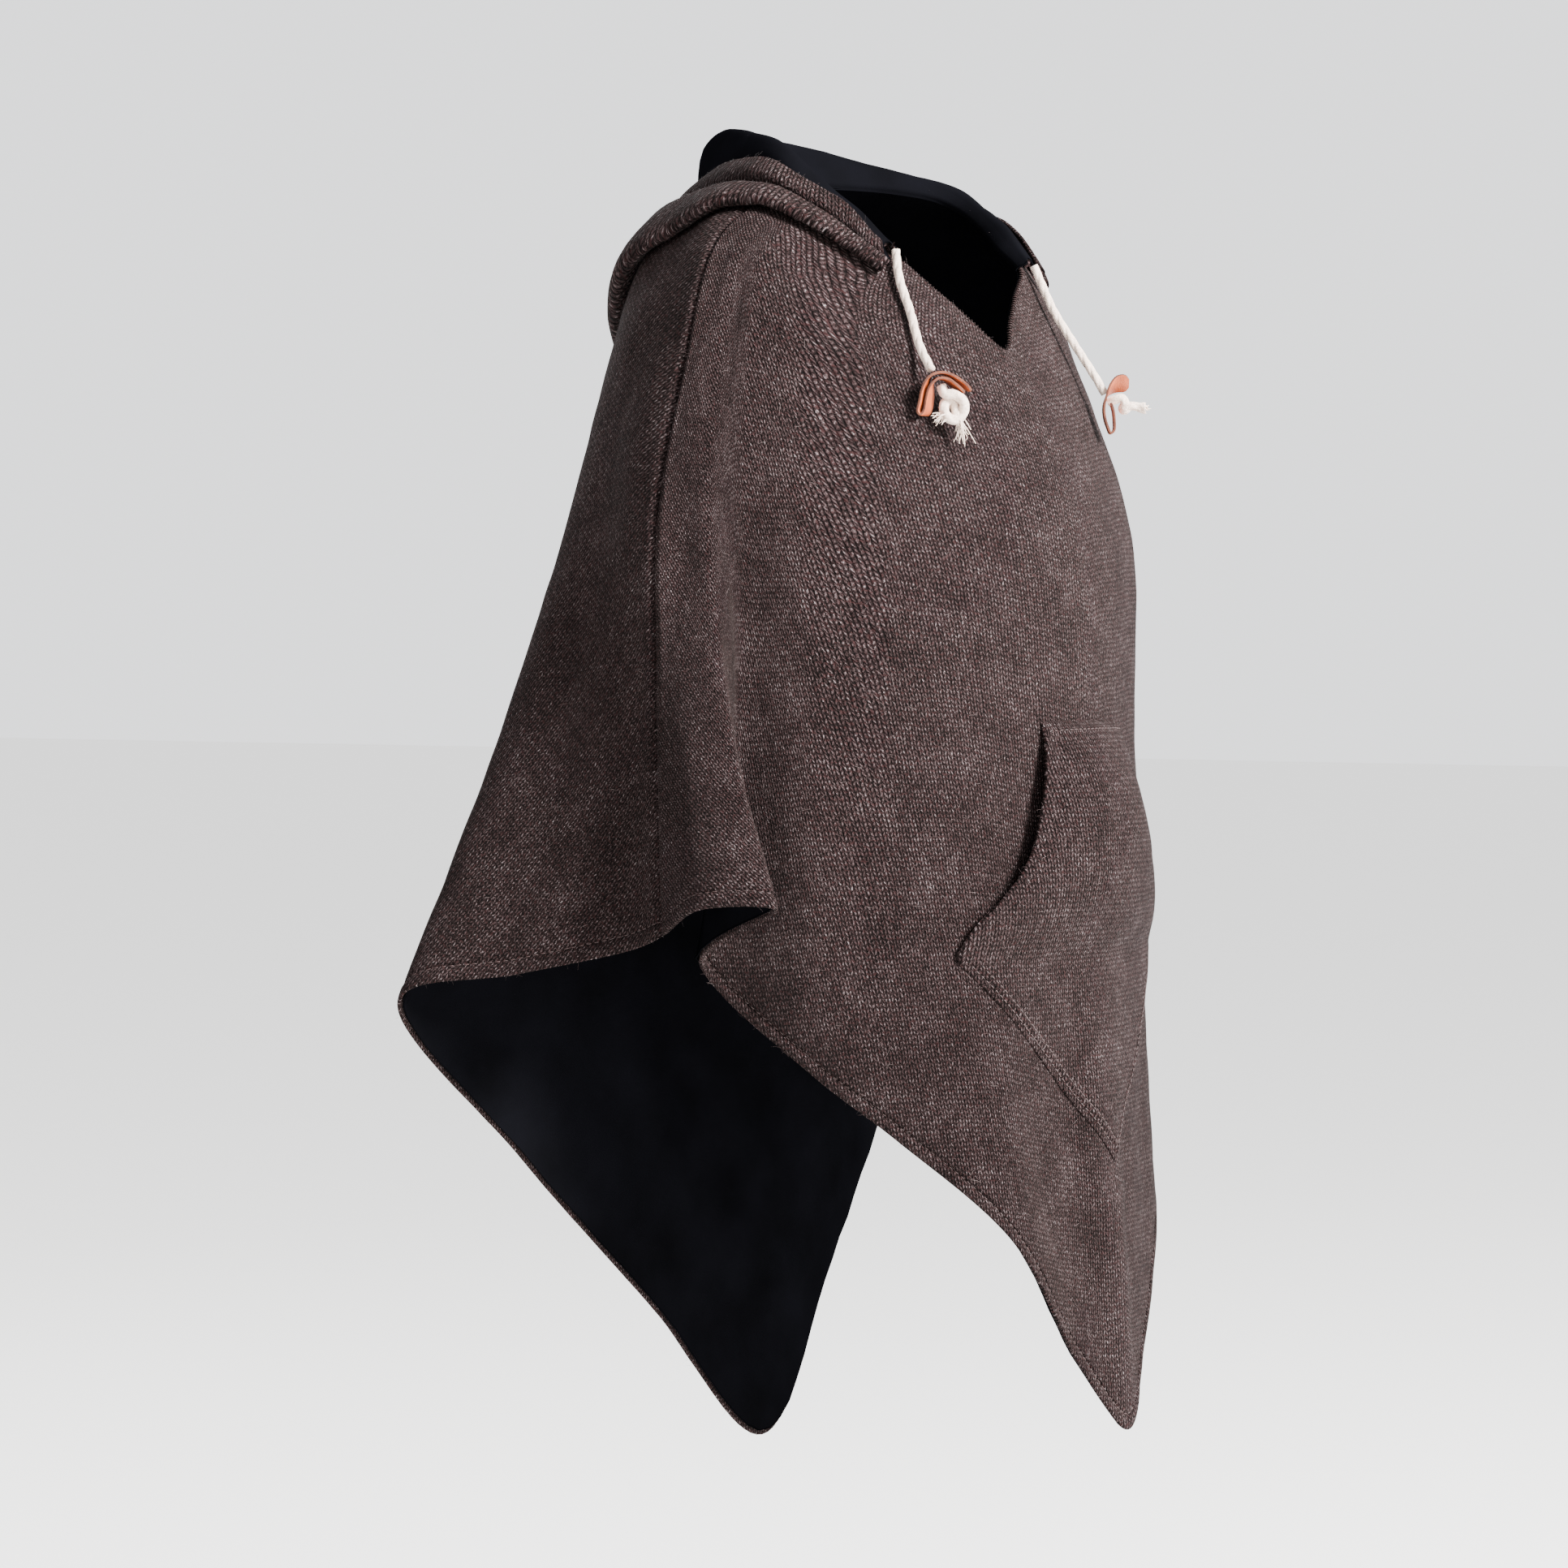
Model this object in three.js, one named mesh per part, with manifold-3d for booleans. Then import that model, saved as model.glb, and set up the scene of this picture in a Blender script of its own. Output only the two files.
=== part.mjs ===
// A hooded wool poncho, worn but with no wearer in it: a front and a back cut as squares that
// stand on their points, joined over the shoulders and down the arms, with a dark cotton lining,
// a hood that lies down behind the neck, a pouch pocket on the front and a drawcord whose two
// ends each carry a leather tab and a frayed knot.
// Millimetres. +Z is up, the wearer faces -Y and their right arm is at -X. The origin is between
// the two shoulder points of the neckline, where the wearer's neck and shoulders hold the cloth.
import * as THREE from "three";
import { mergeVertices } from "three/addons/utils/BufferGeometryUtils.js";
import Module from "manifold-3d";

const wasm = await Module();
wasm.setup();

// ---- Driving sizes -------------------------------------------------------------------------
const WOOL = 2.8; // thickness of the felted knit
const LINING = 1.0; // thickness of the cotton lining
const GAP = 0.3; // clearance where two pieces meet
const SEAM_TRIM = GAP / 2; // each panel stops this far short of a shared seam
const NECK_TURN = 1; // the lining stops this far below the neckline
const HEM_TURN = 3; // and this far above the hem
const BODY_ROWS = 12; // rows of facets from the neckline to the hem

const POCKET_SEAT = 2; // how far the sewn-on pocket stands off the facets of the front
const CORD_DIAMETER = 6;
const CORD_SIDES = 8;
const LEATHER = 1.6; // thickness of the tabs
const TAB_WIDTH = 14;

const WOOL_BROWN = "#5a4a46";
const LINING_BLACK = "#14141a";
const CORD_CREAM = "#e9ddd2";
const TAB_TAN = "#b4683f";

// ---- The figure that the shoulders of the cloth lie on ---------------------------------------
// Half widths at each height, measured to the outside of the cloth.
const FIGURE = [
  { z: 20, side: 90, front: 66, back: 74 },
  { z: -2, side: 102, front: 76, back: 88 },
  { z: -20, side: 142, front: 84, back: 102 },
  { z: -50, side: 196, front: 94, back: 120 },
  { z: -80, side: 214, front: 101, back: 132 },
  { z: -120, side: 231, front: 112, back: 141 },
  { z: -175, side: 252, front: 138, back: 147 },
  { z: -240, side: 270, front: 160, back: 150 },
  { z: -330, side: 280, front: 172, back: 150 },
];
const FRONT_SQUARENESS = 1.14; // 1 is an ellipse, less is squarer, more is nearer a wedge
const BACK_SQUARENESS = 0.88;

// ---- The neckline: a V in front, round at the back -------------------------------------------
const V_BOTTOM = new THREE.Vector3(0, -110, -119);
const V_TOP = new THREE.Vector3(-87, -72, -56);
const SHOULDER_POINT = new THREE.Vector3(-101, 0, -2);
const NAPE = new THREE.Vector3(0, 82, 8);

// ---- Ribs: the lines that the cloth hangs along, from the neckline to the hem -----------------
// The wearer's right half, front centre to back centre. neck: 0 is the V's bottom, 1 its top,
// 2 the shoulder point, 3 the nape. angle: where it lies on the figure, 0 front, 90 side,
// 180 back. leaves: the height at which it leaves the figure. x, y, z: its hem point if the cloth
// had no folds. foldX, foldY: how far a fold carries that point. steps: facets to the next rib.
const RIBS = [
  { name: "front_centre", neck: 0.0, angle: 0, leaves: -250, x: 0, y: -210, z: -864, foldX: 0, foldY: 0, steps: 2 },
  { name: "front_near", neck: 0.33, angle: 12, leaves: -250, x: -44, y: -198, z: -815, foldX: 0, foldY: 2, steps: 2 },
  { name: "front_ridge", neck: 0.66, angle: 26, leaves: -250, x: -104, y: -168, z: -727, foldX: 0, foldY: -12, steps: 2 },
  { name: "front_flank", neck: 1.0, angle: 42, leaves: -250, x: -160, y: -132, z: -656, foldX: 8, foldY: 18, steps: 2 },
  { name: "front_side", neck: 1.3, angle: 56, leaves: -230, x: -206, y: -96, z: -611, foldX: 20, foldY: 29, steps: 2 },
  { name: "flute_tuck", neck: 1.55, angle: 68, leaves: -200, x: -244, y: -62, z: -541, foldX: 20, foldY: 55, steps: 2 },
  { name: "flute_crest", neck: 1.72, angle: 76, leaves: -200, x: -266, y: -38, z: -494, foldX: -22, foldY: -70, steps: 2 },
  { name: "flute_back", neck: 1.86, angle: 83, leaves: -200, x: -278, y: -20, z: -495, foldX: -30, foldY: -40, steps: 2 },
  { name: "seam", neck: 2.0, angle: 90, leaves: -240, x: -285, y: -4, z: -516, foldX: -2, foldY: -10, steps: 1 },
  { name: "seam_valley", neck: 2.12, angle: 97, leaves: -220, x: -287, y: 14, z: -526, foldX: 6, foldY: 0, steps: 2 },
  { name: "back_side", neck: 2.3, angle: 111, leaves: -160, x: -302, y: 70, z: -542, foldX: -16, foldY: 10, steps: 2 },
  { name: "back_corner", neck: 2.5, angle: 127, leaves: -110, x: -310, y: 134, z: -558, foldX: -42, foldY: 18, steps: 3 },
  { name: "back_flank", neck: 2.68, angle: 145, leaves: -170, x: -225, y: 132, z: -676, foldX: -10, foldY: 5, steps: 2 },
  { name: "back_near", neck: 2.84, angle: 163, leaves: -220, x: -112, y: 112, z: -792, foldX: 0, foldY: 0, steps: 2 },
  { name: "back_centre", neck: 3.0, angle: 180, leaves: -240, x: 0, y: 94, z: -895, foldX: 0, foldY: 0, steps: 0 },
];
const FOLD_GROWTH = 2.1; // a fold opens from nothing where the rib leaves the figure, faster and faster
const LEFT_FOLDS = 0.45; // the folds on the wearer's left are this much shallower

// ---- The hood, lying down: one row for each place round the neckline, nape to front corner -------
// neck as for the ribs. The cloth stands up from the neckline to a crest, turns down into the bag
// of the hood at the heel, runs under it to the low fold and comes back over it to the rim.
// crestOut, rimOut: out from the neckline. crest, leftCrest, rim, leftRim: heights. roll: from the
// crest out to the roll's outer leg.
const HOOD_TOP = [
  { neck: 3.0, crestOut: 30, crest: 40, leftCrest: 40, roll: 16, rimOut: 58, rim: -8, leftRim: -8 },
  { neck: 2.7, crestOut: 29, crest: 37, leftCrest: 31, roll: 14, rimOut: 55, rim: -3, leftRim: -9 },
  { neck: 2.5, crestOut: 26, crest: 34, leftCrest: 22, roll: 11, rimOut: 46, rim: 5, leftRim: -8 },
  { neck: 2.3, crestOut: 20, crest: 29, leftCrest: 13, roll: 8.5, rimOut: 36, rim: 9, leftRim: -10 },
  { neck: 2.0, crestOut: 12, crest: 18, leftCrest: -2, roll: 7.5, rimOut: 27, rim: 7, leftRim: -13 },
  { neck: 1.6, crestOut: 10, crest: -7, leftCrest: -13, roll: 7.5, rimOut: 23, rim: -9, leftRim: -19 },
  { neck: 1.3, crestOut: 9.5, crest: -26, leftCrest: -27, roll: 7.5, rimOut: 21, rim: -23, leftRim: -32 },
  { neck: 1.0, crestOut: 6, crest: -50, leftCrest: -50, roll: 7.5, rimOut: 17, rim: -49, leftRim: -56 },
];
// heelAlong, creaseAlong, low: down the body from the neckline. creaseOff: out from the body.
// fold: how thick the bag is at its low fold.
const HOOD_BAG = [
  { neck: 3.0, heelAlong: 70, creaseAlong: 88, creaseOff: 15, low: 182, fold: 14 },
  { neck: 2.7, heelAlong: 62, creaseAlong: 78, creaseOff: 12, low: 162, fold: 10 },
  { neck: 2.5, heelAlong: 52, creaseAlong: 66, creaseOff: 9, low: 142, fold: 8 },
  { neck: 2.3, heelAlong: 40, creaseAlong: 54, creaseOff: 8.5, low: 108, fold: 7 },
  { neck: 2.0, heelAlong: 28, creaseAlong: 40, creaseOff: 8, low: 67, fold: 6.5 },
  { neck: 1.6, heelAlong: 22, creaseAlong: 31, creaseOff: 8, low: 50, fold: 6 },
  { neck: 1.3, heelAlong: 18, creaseAlong: 25, creaseOff: 8, low: 38, fold: 6 },
  { neck: 1.0, heelAlong: 14, creaseAlong: 19, creaseOff: 7.5, low: 27, fold: 5 },
];
const HOOD_UNDER_OFF = 5.2; // how far the hood's under layer lies off the body
const RIM_CLEAR = 5; // least height of the rim above the under layer
const HOOD_SEAM_OFF = 0.8; // its seam, off the neckline
const LEFT_BAG = 0.55; // the bag is flatter on the wearer's left
const LEFT_RIM_OUT = 5; // and its rim lies this much further out
const CREST_CLEAR = 8; // least height of the crest above the under layer
const LEG_RISE = 0.6; // the roll's two legs reach this share of the crest's height
const LEG_OUT = 0.7; // the inner leg leans out from the body by this share before it rises
const BAND_OUT = 2.5; // how far the band below the rim bellies out
const UNDER_SHARES = [0.34, 0.68]; // points of the under layer, from the heel to the low fold
const FOLD_UNDER = 0.7; // the low fold's under edge, tip and over edge, in shares of its thickness
const FOLD_TIP = 0.45;
const FOLD_OVER = 0.5;
const FOLD_DIP = 1; // the over layer dips by this much into the fold

// ---- The pouch pocket: half its width at each height, and how far it stands off the front --------
// From the top edge down the slanted hand openings to the two corners, then straight to the tip.
const POCKET_EDGE = [
  { z: -376, half: 50 },
  { z: -410, half: 56 },
  { z: -440, half: 66 },
  { z: -470, half: 79 },
  { z: -490, half: 96 },
  { z: -510, half: 117 },
  { z: -535, half: 130 },
];
const POCKET_TOP = POCKET_EDGE[0].z;
const POCKET_CORNER = POCKET_EDGE[POCKET_EDGE.length - 1].z;
const POCKET_TIP = -679;
const POCKET_TIP_HALF = 2;
const POCKET_BULGE = 28; // half way down the hand openings
const POCKET_LIFT = 11; // of the edges of the hand openings
const POCKET_ROWS = [7, 9]; // rows of facets above and below the corners
const POCKET_COLUMNS = 10;

// ---- The drawcord's two free ends, each with a folded leather tab and a knot ---------------------
const CORD_ROUTES = {
  cord_right: [[-94, -78, -55], [-98.5, -83.5, -74], [-101, -94, -98], [-107, -105, -121], [-114, -118.5, -138]],
  cord_left: [[90, -80, -55], [95, -83.5, -68], [101, -90, -87], [108, -101, -108], [116, -117, -136]],
};

// A toggle is drawn flat and then placed: across, up and out (from the chest) are its own axes.
const TOGGLES = {
  right: { centre: [-106.5, -130.5, -161], turn: 42 },
  left: { centre: [122, -125, -155], turn: 57 },
};

// The leather strip, folded double round the knot: its run from one end to the fold and back.
// twist leans its width across, and lift leans it up, in degrees.
const TAB_RUNS = {
  right: [
    { across: 12.8, up: 8.8, twist: 0 }, { across: 7, up: 13.7, twist: 0 },
    { across: 0, up: 18.2, twist: 0 }, { across: -6, up: 20.4, twist: 0 },
    { across: -12, up: 20.2, twist: 8 }, { across: -16.6, up: 16.4, twist: 24 },
    { across: -19, up: 8.5, twist: 38 }, { across: -20.6, up: 0.5, twist: 38 },
    { across: -22, up: -5.5, twist: 38 }, { across: -20, up: -7.8, twist: 38 },
    { across: -17.6, up: -5.5, twist: 38 }, { across: -16, up: 2, twist: 38 },
    { across: -15, up: 9.5, twist: 30 }, { across: -13, up: 14.8, twist: 12 },
    { across: -9.4, up: 17, twist: 0 }, { across: -4, up: 16.2, twist: 0 },
    { across: 2, up: 12, twist: 0 }, { across: 8, up: 7.4, twist: 0 },
  ],
  left: [
    { across: 13, up: 16.6, twist: 0, lift: 62 }, { across: 6.5, up: 16.6, twist: 0, lift: 58 },
    { across: 0.5, up: 13.6, twist: 0, lift: 36 }, { across: -3.4, up: 6.6, twist: 0, lift: 8 },
    { across: -5, up: -1, twist: 0 }, { across: -4.4, up: -8, twist: 0 },
    { across: -2.2, up: -15, twist: 0 }, { across: -0.2, up: -19, twist: 0 },
    { across: 2.2, up: -17, twist: 0 }, { across: 2.4, up: -10, twist: 0 },
    { across: 1.6, up: -3, twist: 0 }, { across: 0, up: 2.5, twist: 0 },
  ],
};

// The knots: rounded turns of the cord, as ellipsoids.
const KNOT_TURNS = {
  right: [
    { across: -3.4, up: 4.8, out: 0.5, wide: 6.6, tall: 7.4, deep: 6.4 },
    { across: 4.4, up: -3, out: 0, wide: 7.6, tall: 8.6, deep: 6.8 },
    { across: -1.6, up: -10, out: 1, wide: 7, tall: 5.4, deep: 4.8 },
  ],
  left: [
    { across: 8, up: 2.6, out: 0, wide: 4.6, tall: 7.4, deep: 6.4 },
    { across: 14.5, up: 0.2, out: 0, wide: 7.6, tall: 4.8, deep: 4.8 },
    { across: 22, up: -0.8, out: 0.6, wide: 3.8, tall: 6.2, deep: 4.6 },
  ],
};

// Frayed bunches at the right knot: from a root, a fan of strands about a direction in degrees.
const FRAY_BUNCHES = [
  { across: -2.5, up: -9.5, out: 2, strands: 12, direction: 203, spread: 62, length: 10 },
  { across: 6, up: -6.5, out: 1, strands: 8, direction: 292, spread: 40, length: 17 },
];
const STRAND_ROOT = 1.0;
const STRAND_TIP = 0.45;

// ---- Helpers -----------------------------------------------------------------------------------
const radians = THREE.MathUtils.degToRad;
const lerp = THREE.MathUtils.lerp;
const mirrored = (p) => new THREE.Vector3(-p.x, p.y, p.z);
const curveThrough = (points, closed = false) =>
  new THREE.CatmullRomCurve3(points, closed, "centripetal");

// One column of a table whose rows run down in `key`, read smoothly at a value of it.
function readTable(rows, key, column, value) {
  if (value >= rows[0][key]) return rows[0][column];
  const last = rows.length - 1;
  if (value <= rows[last][key]) return rows[last][column];
  const i = rows.findIndex((row) => row[key] < value) - 1;
  const t = (rows[i][key] - value) / (rows[i][key] - rows[i + 1][key]);
  const at = (k) => rows[THREE.MathUtils.clamp(k, 0, last)][column];
  return 0.5 * (2 * at(i) + (at(i + 1) - at(i - 1)) * t
    + (2 * at(i - 1) - 5 * at(i) + 4 * at(i + 1) - at(i + 2)) * t * t
    + (3 * at(i) - at(i - 1) - 3 * at(i + 1) + at(i + 2)) * t * t * t);
}

// A point of the figure, on the right half for angles from 0 to 180.
function onFigure(angle, z) {
  const s = Math.sin(radians(angle));
  const c = Math.cos(radians(angle));
  const side = readTable(FIGURE, "z", "side", z);
  const depth = readTable(FIGURE, "z", c > 0 ? "front" : "back", z);
  const squareness = c > 0 ? FRONT_SQUARENESS : BACK_SQUARENESS;
  return new THREE.Vector3(
    -side * Math.pow(Math.abs(s), squareness),
    -Math.sign(c) * depth * Math.pow(Math.abs(c), squareness), z);
}

const BACK_NECK = curveThrough([mirrored(V_TOP), mirrored(SHOULDER_POINT), NAPE,
  SHOULDER_POINT, V_TOP]);

function neckPoint(k) {
  if (k <= 1) return V_BOTTOM.clone().lerp(V_TOP, k);
  return BACK_NECK.getPoint(1 - (k - 1) / 4);
}

// The whole rib as a curve: neckline, three points on the figure, then three down to the hem.
function ribCurve(rib, foldScale) {
  const top = neckPoint(rib.neck);
  const on = (share) => onFigure(rib.angle, lerp(top.z, rib.leaves, share));
  const leaving = on(1);
  const hem = new THREE.Vector3(rib.x, rib.y, rib.z);
  const fold = new THREE.Vector3(rib.foldX, rib.foldY, 0).multiplyScalar(foldScale);
  const hanging = (share) => leaving.clone().lerp(hem, share)
    .addScaledVector(fold, Math.pow(share, FOLD_GROWTH));
  return curveThrough([top, on(0.22), on(0.55), leaving, hanging(0.33), hanging(0.67), hanging(1)]);
}

// ---- Grids of { p, n }: rows of points with their outward normals --------------------------------
// Columns run from the front centre over the wearer's right side to the back, rows run down.
function withNormals(rows, closed) {
  const count = rows[0].length;
  const near = (c) => (closed ? (c + count) % count : THREE.MathUtils.clamp(c, 0, count - 1));
  return rows.map((row, r) => row.map((p, c) => {
    const around = row[near(c + 1)].clone().sub(row[near(c - 1)]);
    const down = rows[Math.min(r + 1, rows.length - 1)][c].clone().sub(rows[Math.max(r - 1, 0)][c]);
    return { p, n: around.cross(down).normalize() };
  }));
}

const blend = (a, b, t) => ({ p: a.p.clone().lerp(b.p, t), n: a.n.clone().lerp(b.n, t).normalize() });
const movedOut = ({ p, n }, distance) => p.clone().addScaledVector(n, distance);

// A closed wall from a grid: its outer face is `outer` out from the points, its inner face `inner`.
function wallGeometry(grid, outer, inner) {
  const rows = grid.length;
  const cols = grid[0].length;
  const positions = [];
  for (const distance of [outer, inner])
    for (const row of grid)
      for (const cell of row) positions.push(...movedOut(cell, distance));
  const at = (layer, r, c) => layer * rows * cols + r * cols + c;
  const index = [];
  const quad = (a, b, c, d) => index.push(a, c, b, a, d, c);
  for (let r = 0; r < rows - 1; r += 1)
    for (let c = 0; c < cols - 1; c += 1) {
      quad(at(0, r, c), at(0, r + 1, c), at(0, r + 1, c + 1), at(0, r, c + 1));
      quad(at(1, r, c), at(1, r, c + 1), at(1, r + 1, c + 1), at(1, r + 1, c));
    }
  for (let c = 0; c < cols - 1; c += 1) {
    const r = rows - 1;
    quad(at(0, 0, c), at(0, 0, c + 1), at(1, 0, c + 1), at(1, 0, c));
    quad(at(0, r, c), at(1, r, c), at(1, r, c + 1), at(0, r, c + 1));
  }
  for (let r = 0; r < rows - 1; r += 1) {
    const c = cols - 1;
    quad(at(0, r, 0), at(1, r, 0), at(1, r + 1, 0), at(0, r + 1, 0));
    quad(at(0, r, c), at(0, r + 1, c), at(1, r + 1, c), at(1, r, c));
  }
  const geometry = new THREE.BufferGeometry();
  geometry.setAttribute("position", new THREE.Float32BufferAttribute(positions, 3));
  geometry.setIndex(index);
  geometry.computeVertexNormals();
  return geometry;
}

// The grid's columns from one to another, going on past the end, with both outer columns drawn in
// by the seam trim.
function columnsOf(grid, from, to) {
  return grid.map((row) => {
    const span = to - from;
    const cells = Array.from({ length: span + 1 }, (_, k) => row[(from + k) % row.length]);
    const trim = (edge, next) => {
      const step = next.p.clone().sub(edge.p).setLength(SEAM_TRIM);
      return { p: edge.p.clone().add(step), n: edge.n };
    };
    return [trim(cells[0], cells[1]), ...cells.slice(1, -1), trim(cells[span], cells[span - 1])];
  });
}

const group = new THREE.Group();
function addPiece(name, geometry, color, roughness) {
  const mesh = new THREE.Mesh(geometry,
    new THREE.MeshStandardMaterial({ color, roughness, metalness: 0 }));
  mesh.name = name;
  group.add(mesh);
}

// ---- Body: front and back, and their lining -------------------------------------------------------
const RIB_COUNT = RIBS.length;
const RING = [...RIBS.map((rib) => ({ curve: ribCurve(rib, 1), side: 1 })),
  ...RIBS.slice(1, -1).reverse().map((rib) => ({ curve: ribCurve(rib, LEFT_FOLDS), side: -1 }))];

const columnParams = []; // where each column lies round the ring, 0 to 1
const rightNecks = []; // the neck position of each column on the right half
RING.forEach((_, i) => {
  const onRight = i < RIB_COUNT - 1;
  const steps = onRight ? RIBS[i].steps : RIBS[2 * RIB_COUNT - 3 - i].steps;
  for (let s = 0; s < steps; s += 1) {
    columnParams.push((i + s / steps) / RING.length);
    if (onRight) rightNecks.push(lerp(RIBS[i].neck, RIBS[i + 1].neck, s / steps));
  }
});
const COLUMNS = columnParams.length;
const BACK_CENTRE = rightNecks.length;
const columnOf = (name) => rightNecks.indexOf(RIBS.find((rib) => rib.name === name).neck);
const neckAt = (column) => (column <= BACK_CENTRE
  ? rightNecks[column] ?? 3 : rightNecks[COLUMNS - column] ?? 0);

const rowShare = (row) => Math.pow(row / BODY_ROWS, 1.35); // closer together over the shoulders

function ringAt(share) {
  const ring = curveThrough(RING.map(({ curve, side }) => {
    const p = curve.getPointAt(share);
    return side > 0 ? p : mirrored(p);
  }), true);
  return columnParams.map((u) => ring.getPoint(u));
}

// The rows of the body, with one more at the turned edge of the neckline and one at that of the hem.
function shellRows() {
  const rows = Array.from({ length: BODY_ROWS + 1 }, (_, row) => ringAt(rowShare(row)));
  const drawnIn = (edge, next, distance) => edge.map((p, c) =>
    p.clone().lerp(next[c], distance / p.distanceTo(next[c])));
  return [rows[0], drawnIn(rows[0], rows[1], NECK_TURN), ...rows.slice(1, -1),
    drawnIn(rows[BODY_ROWS], rows[BODY_ROWS - 1], HEM_TURN), rows[BODY_ROWS]];
}
const shell = withNormals(shellRows(), true);
const liningShell = shell.slice(1, -1);

const RIGHT_SEAM = columnOf("seam");
const LEFT_SEAM = COLUMNS - RIGHT_SEAM;
const LINING_OUTER = -WOOL - GAP;
const LINING_INNER = LINING_OUTER - LINING;

for (const [name, from, to] of [["front", LEFT_SEAM, RIGHT_SEAM + COLUMNS],
  ["back", RIGHT_SEAM, LEFT_SEAM]]) {
  addPiece(`${name}_panel`, wallGeometry(columnsOf(shell, from, to), 0, -WOOL), WOOL_BROWN, 0.95);
  addPiece(`${name}_lining`,
    wallGeometry(columnsOf(liningShell, from, to), LINING_OUTER, LINING_INNER), LINING_BLACK, 0.8);
}

// ---- Hood: two halves with a seam at the centre back, and the lining where it shows ---------------
// A point of the body's outer face at a distance down a column, moved out.
function onBody(column, along, off) {
  let rest = along;
  for (let r = 0; r < shell.length - 1; r += 1) {
    const [a, b] = [shell[r][column], shell[r + 1][column]];
    const length = a.p.distanceTo(b.p);
    if (rest <= length) return movedOut(blend(a, b, rest / length), off);
    rest -= length;
  }
  throw new Error("the body is not that long");
}

// Where along a section's points the wall has a row: more of them round the standing roll.
const HOOD_STEPS = [0, 1, 1.6, 2, 2.4, 3, 4, 5, 6, 7, 8, 9, 10, 11, 12, 13];
const HOOD_LINING_STEPS = HOOD_STEPS.slice(0, 8);

function hoodSection(column) {
  const neck = neckAt(column);
  const stand = (name) => readTable(HOOD_TOP, "neck", name, neck);
  const bag = (name) => readTable(HOOD_BAG, "neck", name, neck);
  const isLeft = column > BACK_CENTRE;
  const crestZ = stand(isLeft ? "leftCrest" : "crest");
  const rimZ = stand(isLeft ? "leftRim" : "rim");
  const top = onBody(column, 0, 0);
  const outward = onBody(column, 30, 0).sub(top).setZ(0).normalize();
  const standing = (out, z, clear) => top.clone().addScaledVector(outward, out)
    .setZ(Math.max(z, onBody(column, Math.max(out, 0), HOOD_UNDER_OFF + clear).z));
  const crestOut = stand("crestOut");
  const [low, heel, creaseAlong] = ["low", "heelAlong", "creaseAlong"].map(bag);
  const fold = bag("fold") * (isLeft ? LEFT_BAG : 1);
  const legZ = lerp(top.z, crestZ, LEG_RISE);
  const over = HOOD_UNDER_OFF + fold;
  const crease = onBody(column, creaseAlong, Math.min(bag("creaseOff"), over));
  const crest = standing(crestOut, crestZ, CREST_CLEAR);
  const rise = crest.clone().sub(top);
  const innerLeg = onBody(column, 0, 1).sub(top).multiplyScalar(LEG_OUT)
    .addScaledVector(rise.clone().normalize(), 1 - LEG_OUT).setLength(rise.length() * LEG_RISE)
    .add(top);
  const rim = standing(stand("rimOut") + (isLeft ? LEFT_RIM_OUT : 0), rimZ, RIM_CLEAR);
  const band = crease.clone().lerp(rim, 0.5).addScaledVector(outward, BAND_OUT);
  return curveThrough([
    onBody(column, 0, HOOD_SEAM_OFF),
    innerLeg,
    crest,
    standing(crestOut + stand("roll"), legZ, 0),
    onBody(column, heel, HOOD_UNDER_OFF),
    ...UNDER_SHARES.map((t) => onBody(column, lerp(heel, low - fold, t), HOOD_UNDER_OFF)),
    onBody(column, low - fold * FOLD_UNDER, HOOD_UNDER_OFF),
    onBody(column, low, HOOD_UNDER_OFF + fold * FOLD_TIP),
    onBody(column, low - fold * FOLD_OVER, over - FOLD_DIP),
    onBody(column, lerp(low, creaseAlong, LEG_RISE), over),
    crease,
    band,
    rim,
  ]);
}

// The grid's normals look to the lining's side of the wool.
function hoodGrid(steps) {
  const first = columnOf("front_flank");
  const last = COLUMNS - first;
  const sections = [];
  for (let column = first; column <= last; column += 1) sections.push(hoodSection(column));
  return withNormals(steps.map((step) => sections.map((curve) =>
    curve.getPoint(step / (curve.points.length - 1)))), false);
}

const hood = hoodGrid(HOOD_STEPS);
const hoodLining = hoodGrid(HOOD_LINING_STEPS);
const hoodCentre = BACK_CENTRE - columnOf("front_flank");
for (const [name, from, to] of [["right", 0, hoodCentre], ["left", hoodCentre, 2 * hoodCentre]]) {
  addPiece(`hood_${name}`, wallGeometry(columnsOf(hood, from, to), 0, -WOOL), WOOL_BROWN, 0.95);
  addPiece(`hood_lining_${name}`,
    wallGeometry(columnsOf(hoodLining, from, to), GAP + LINING, GAP), LINING_BLACK, 0.8);
}

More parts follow.
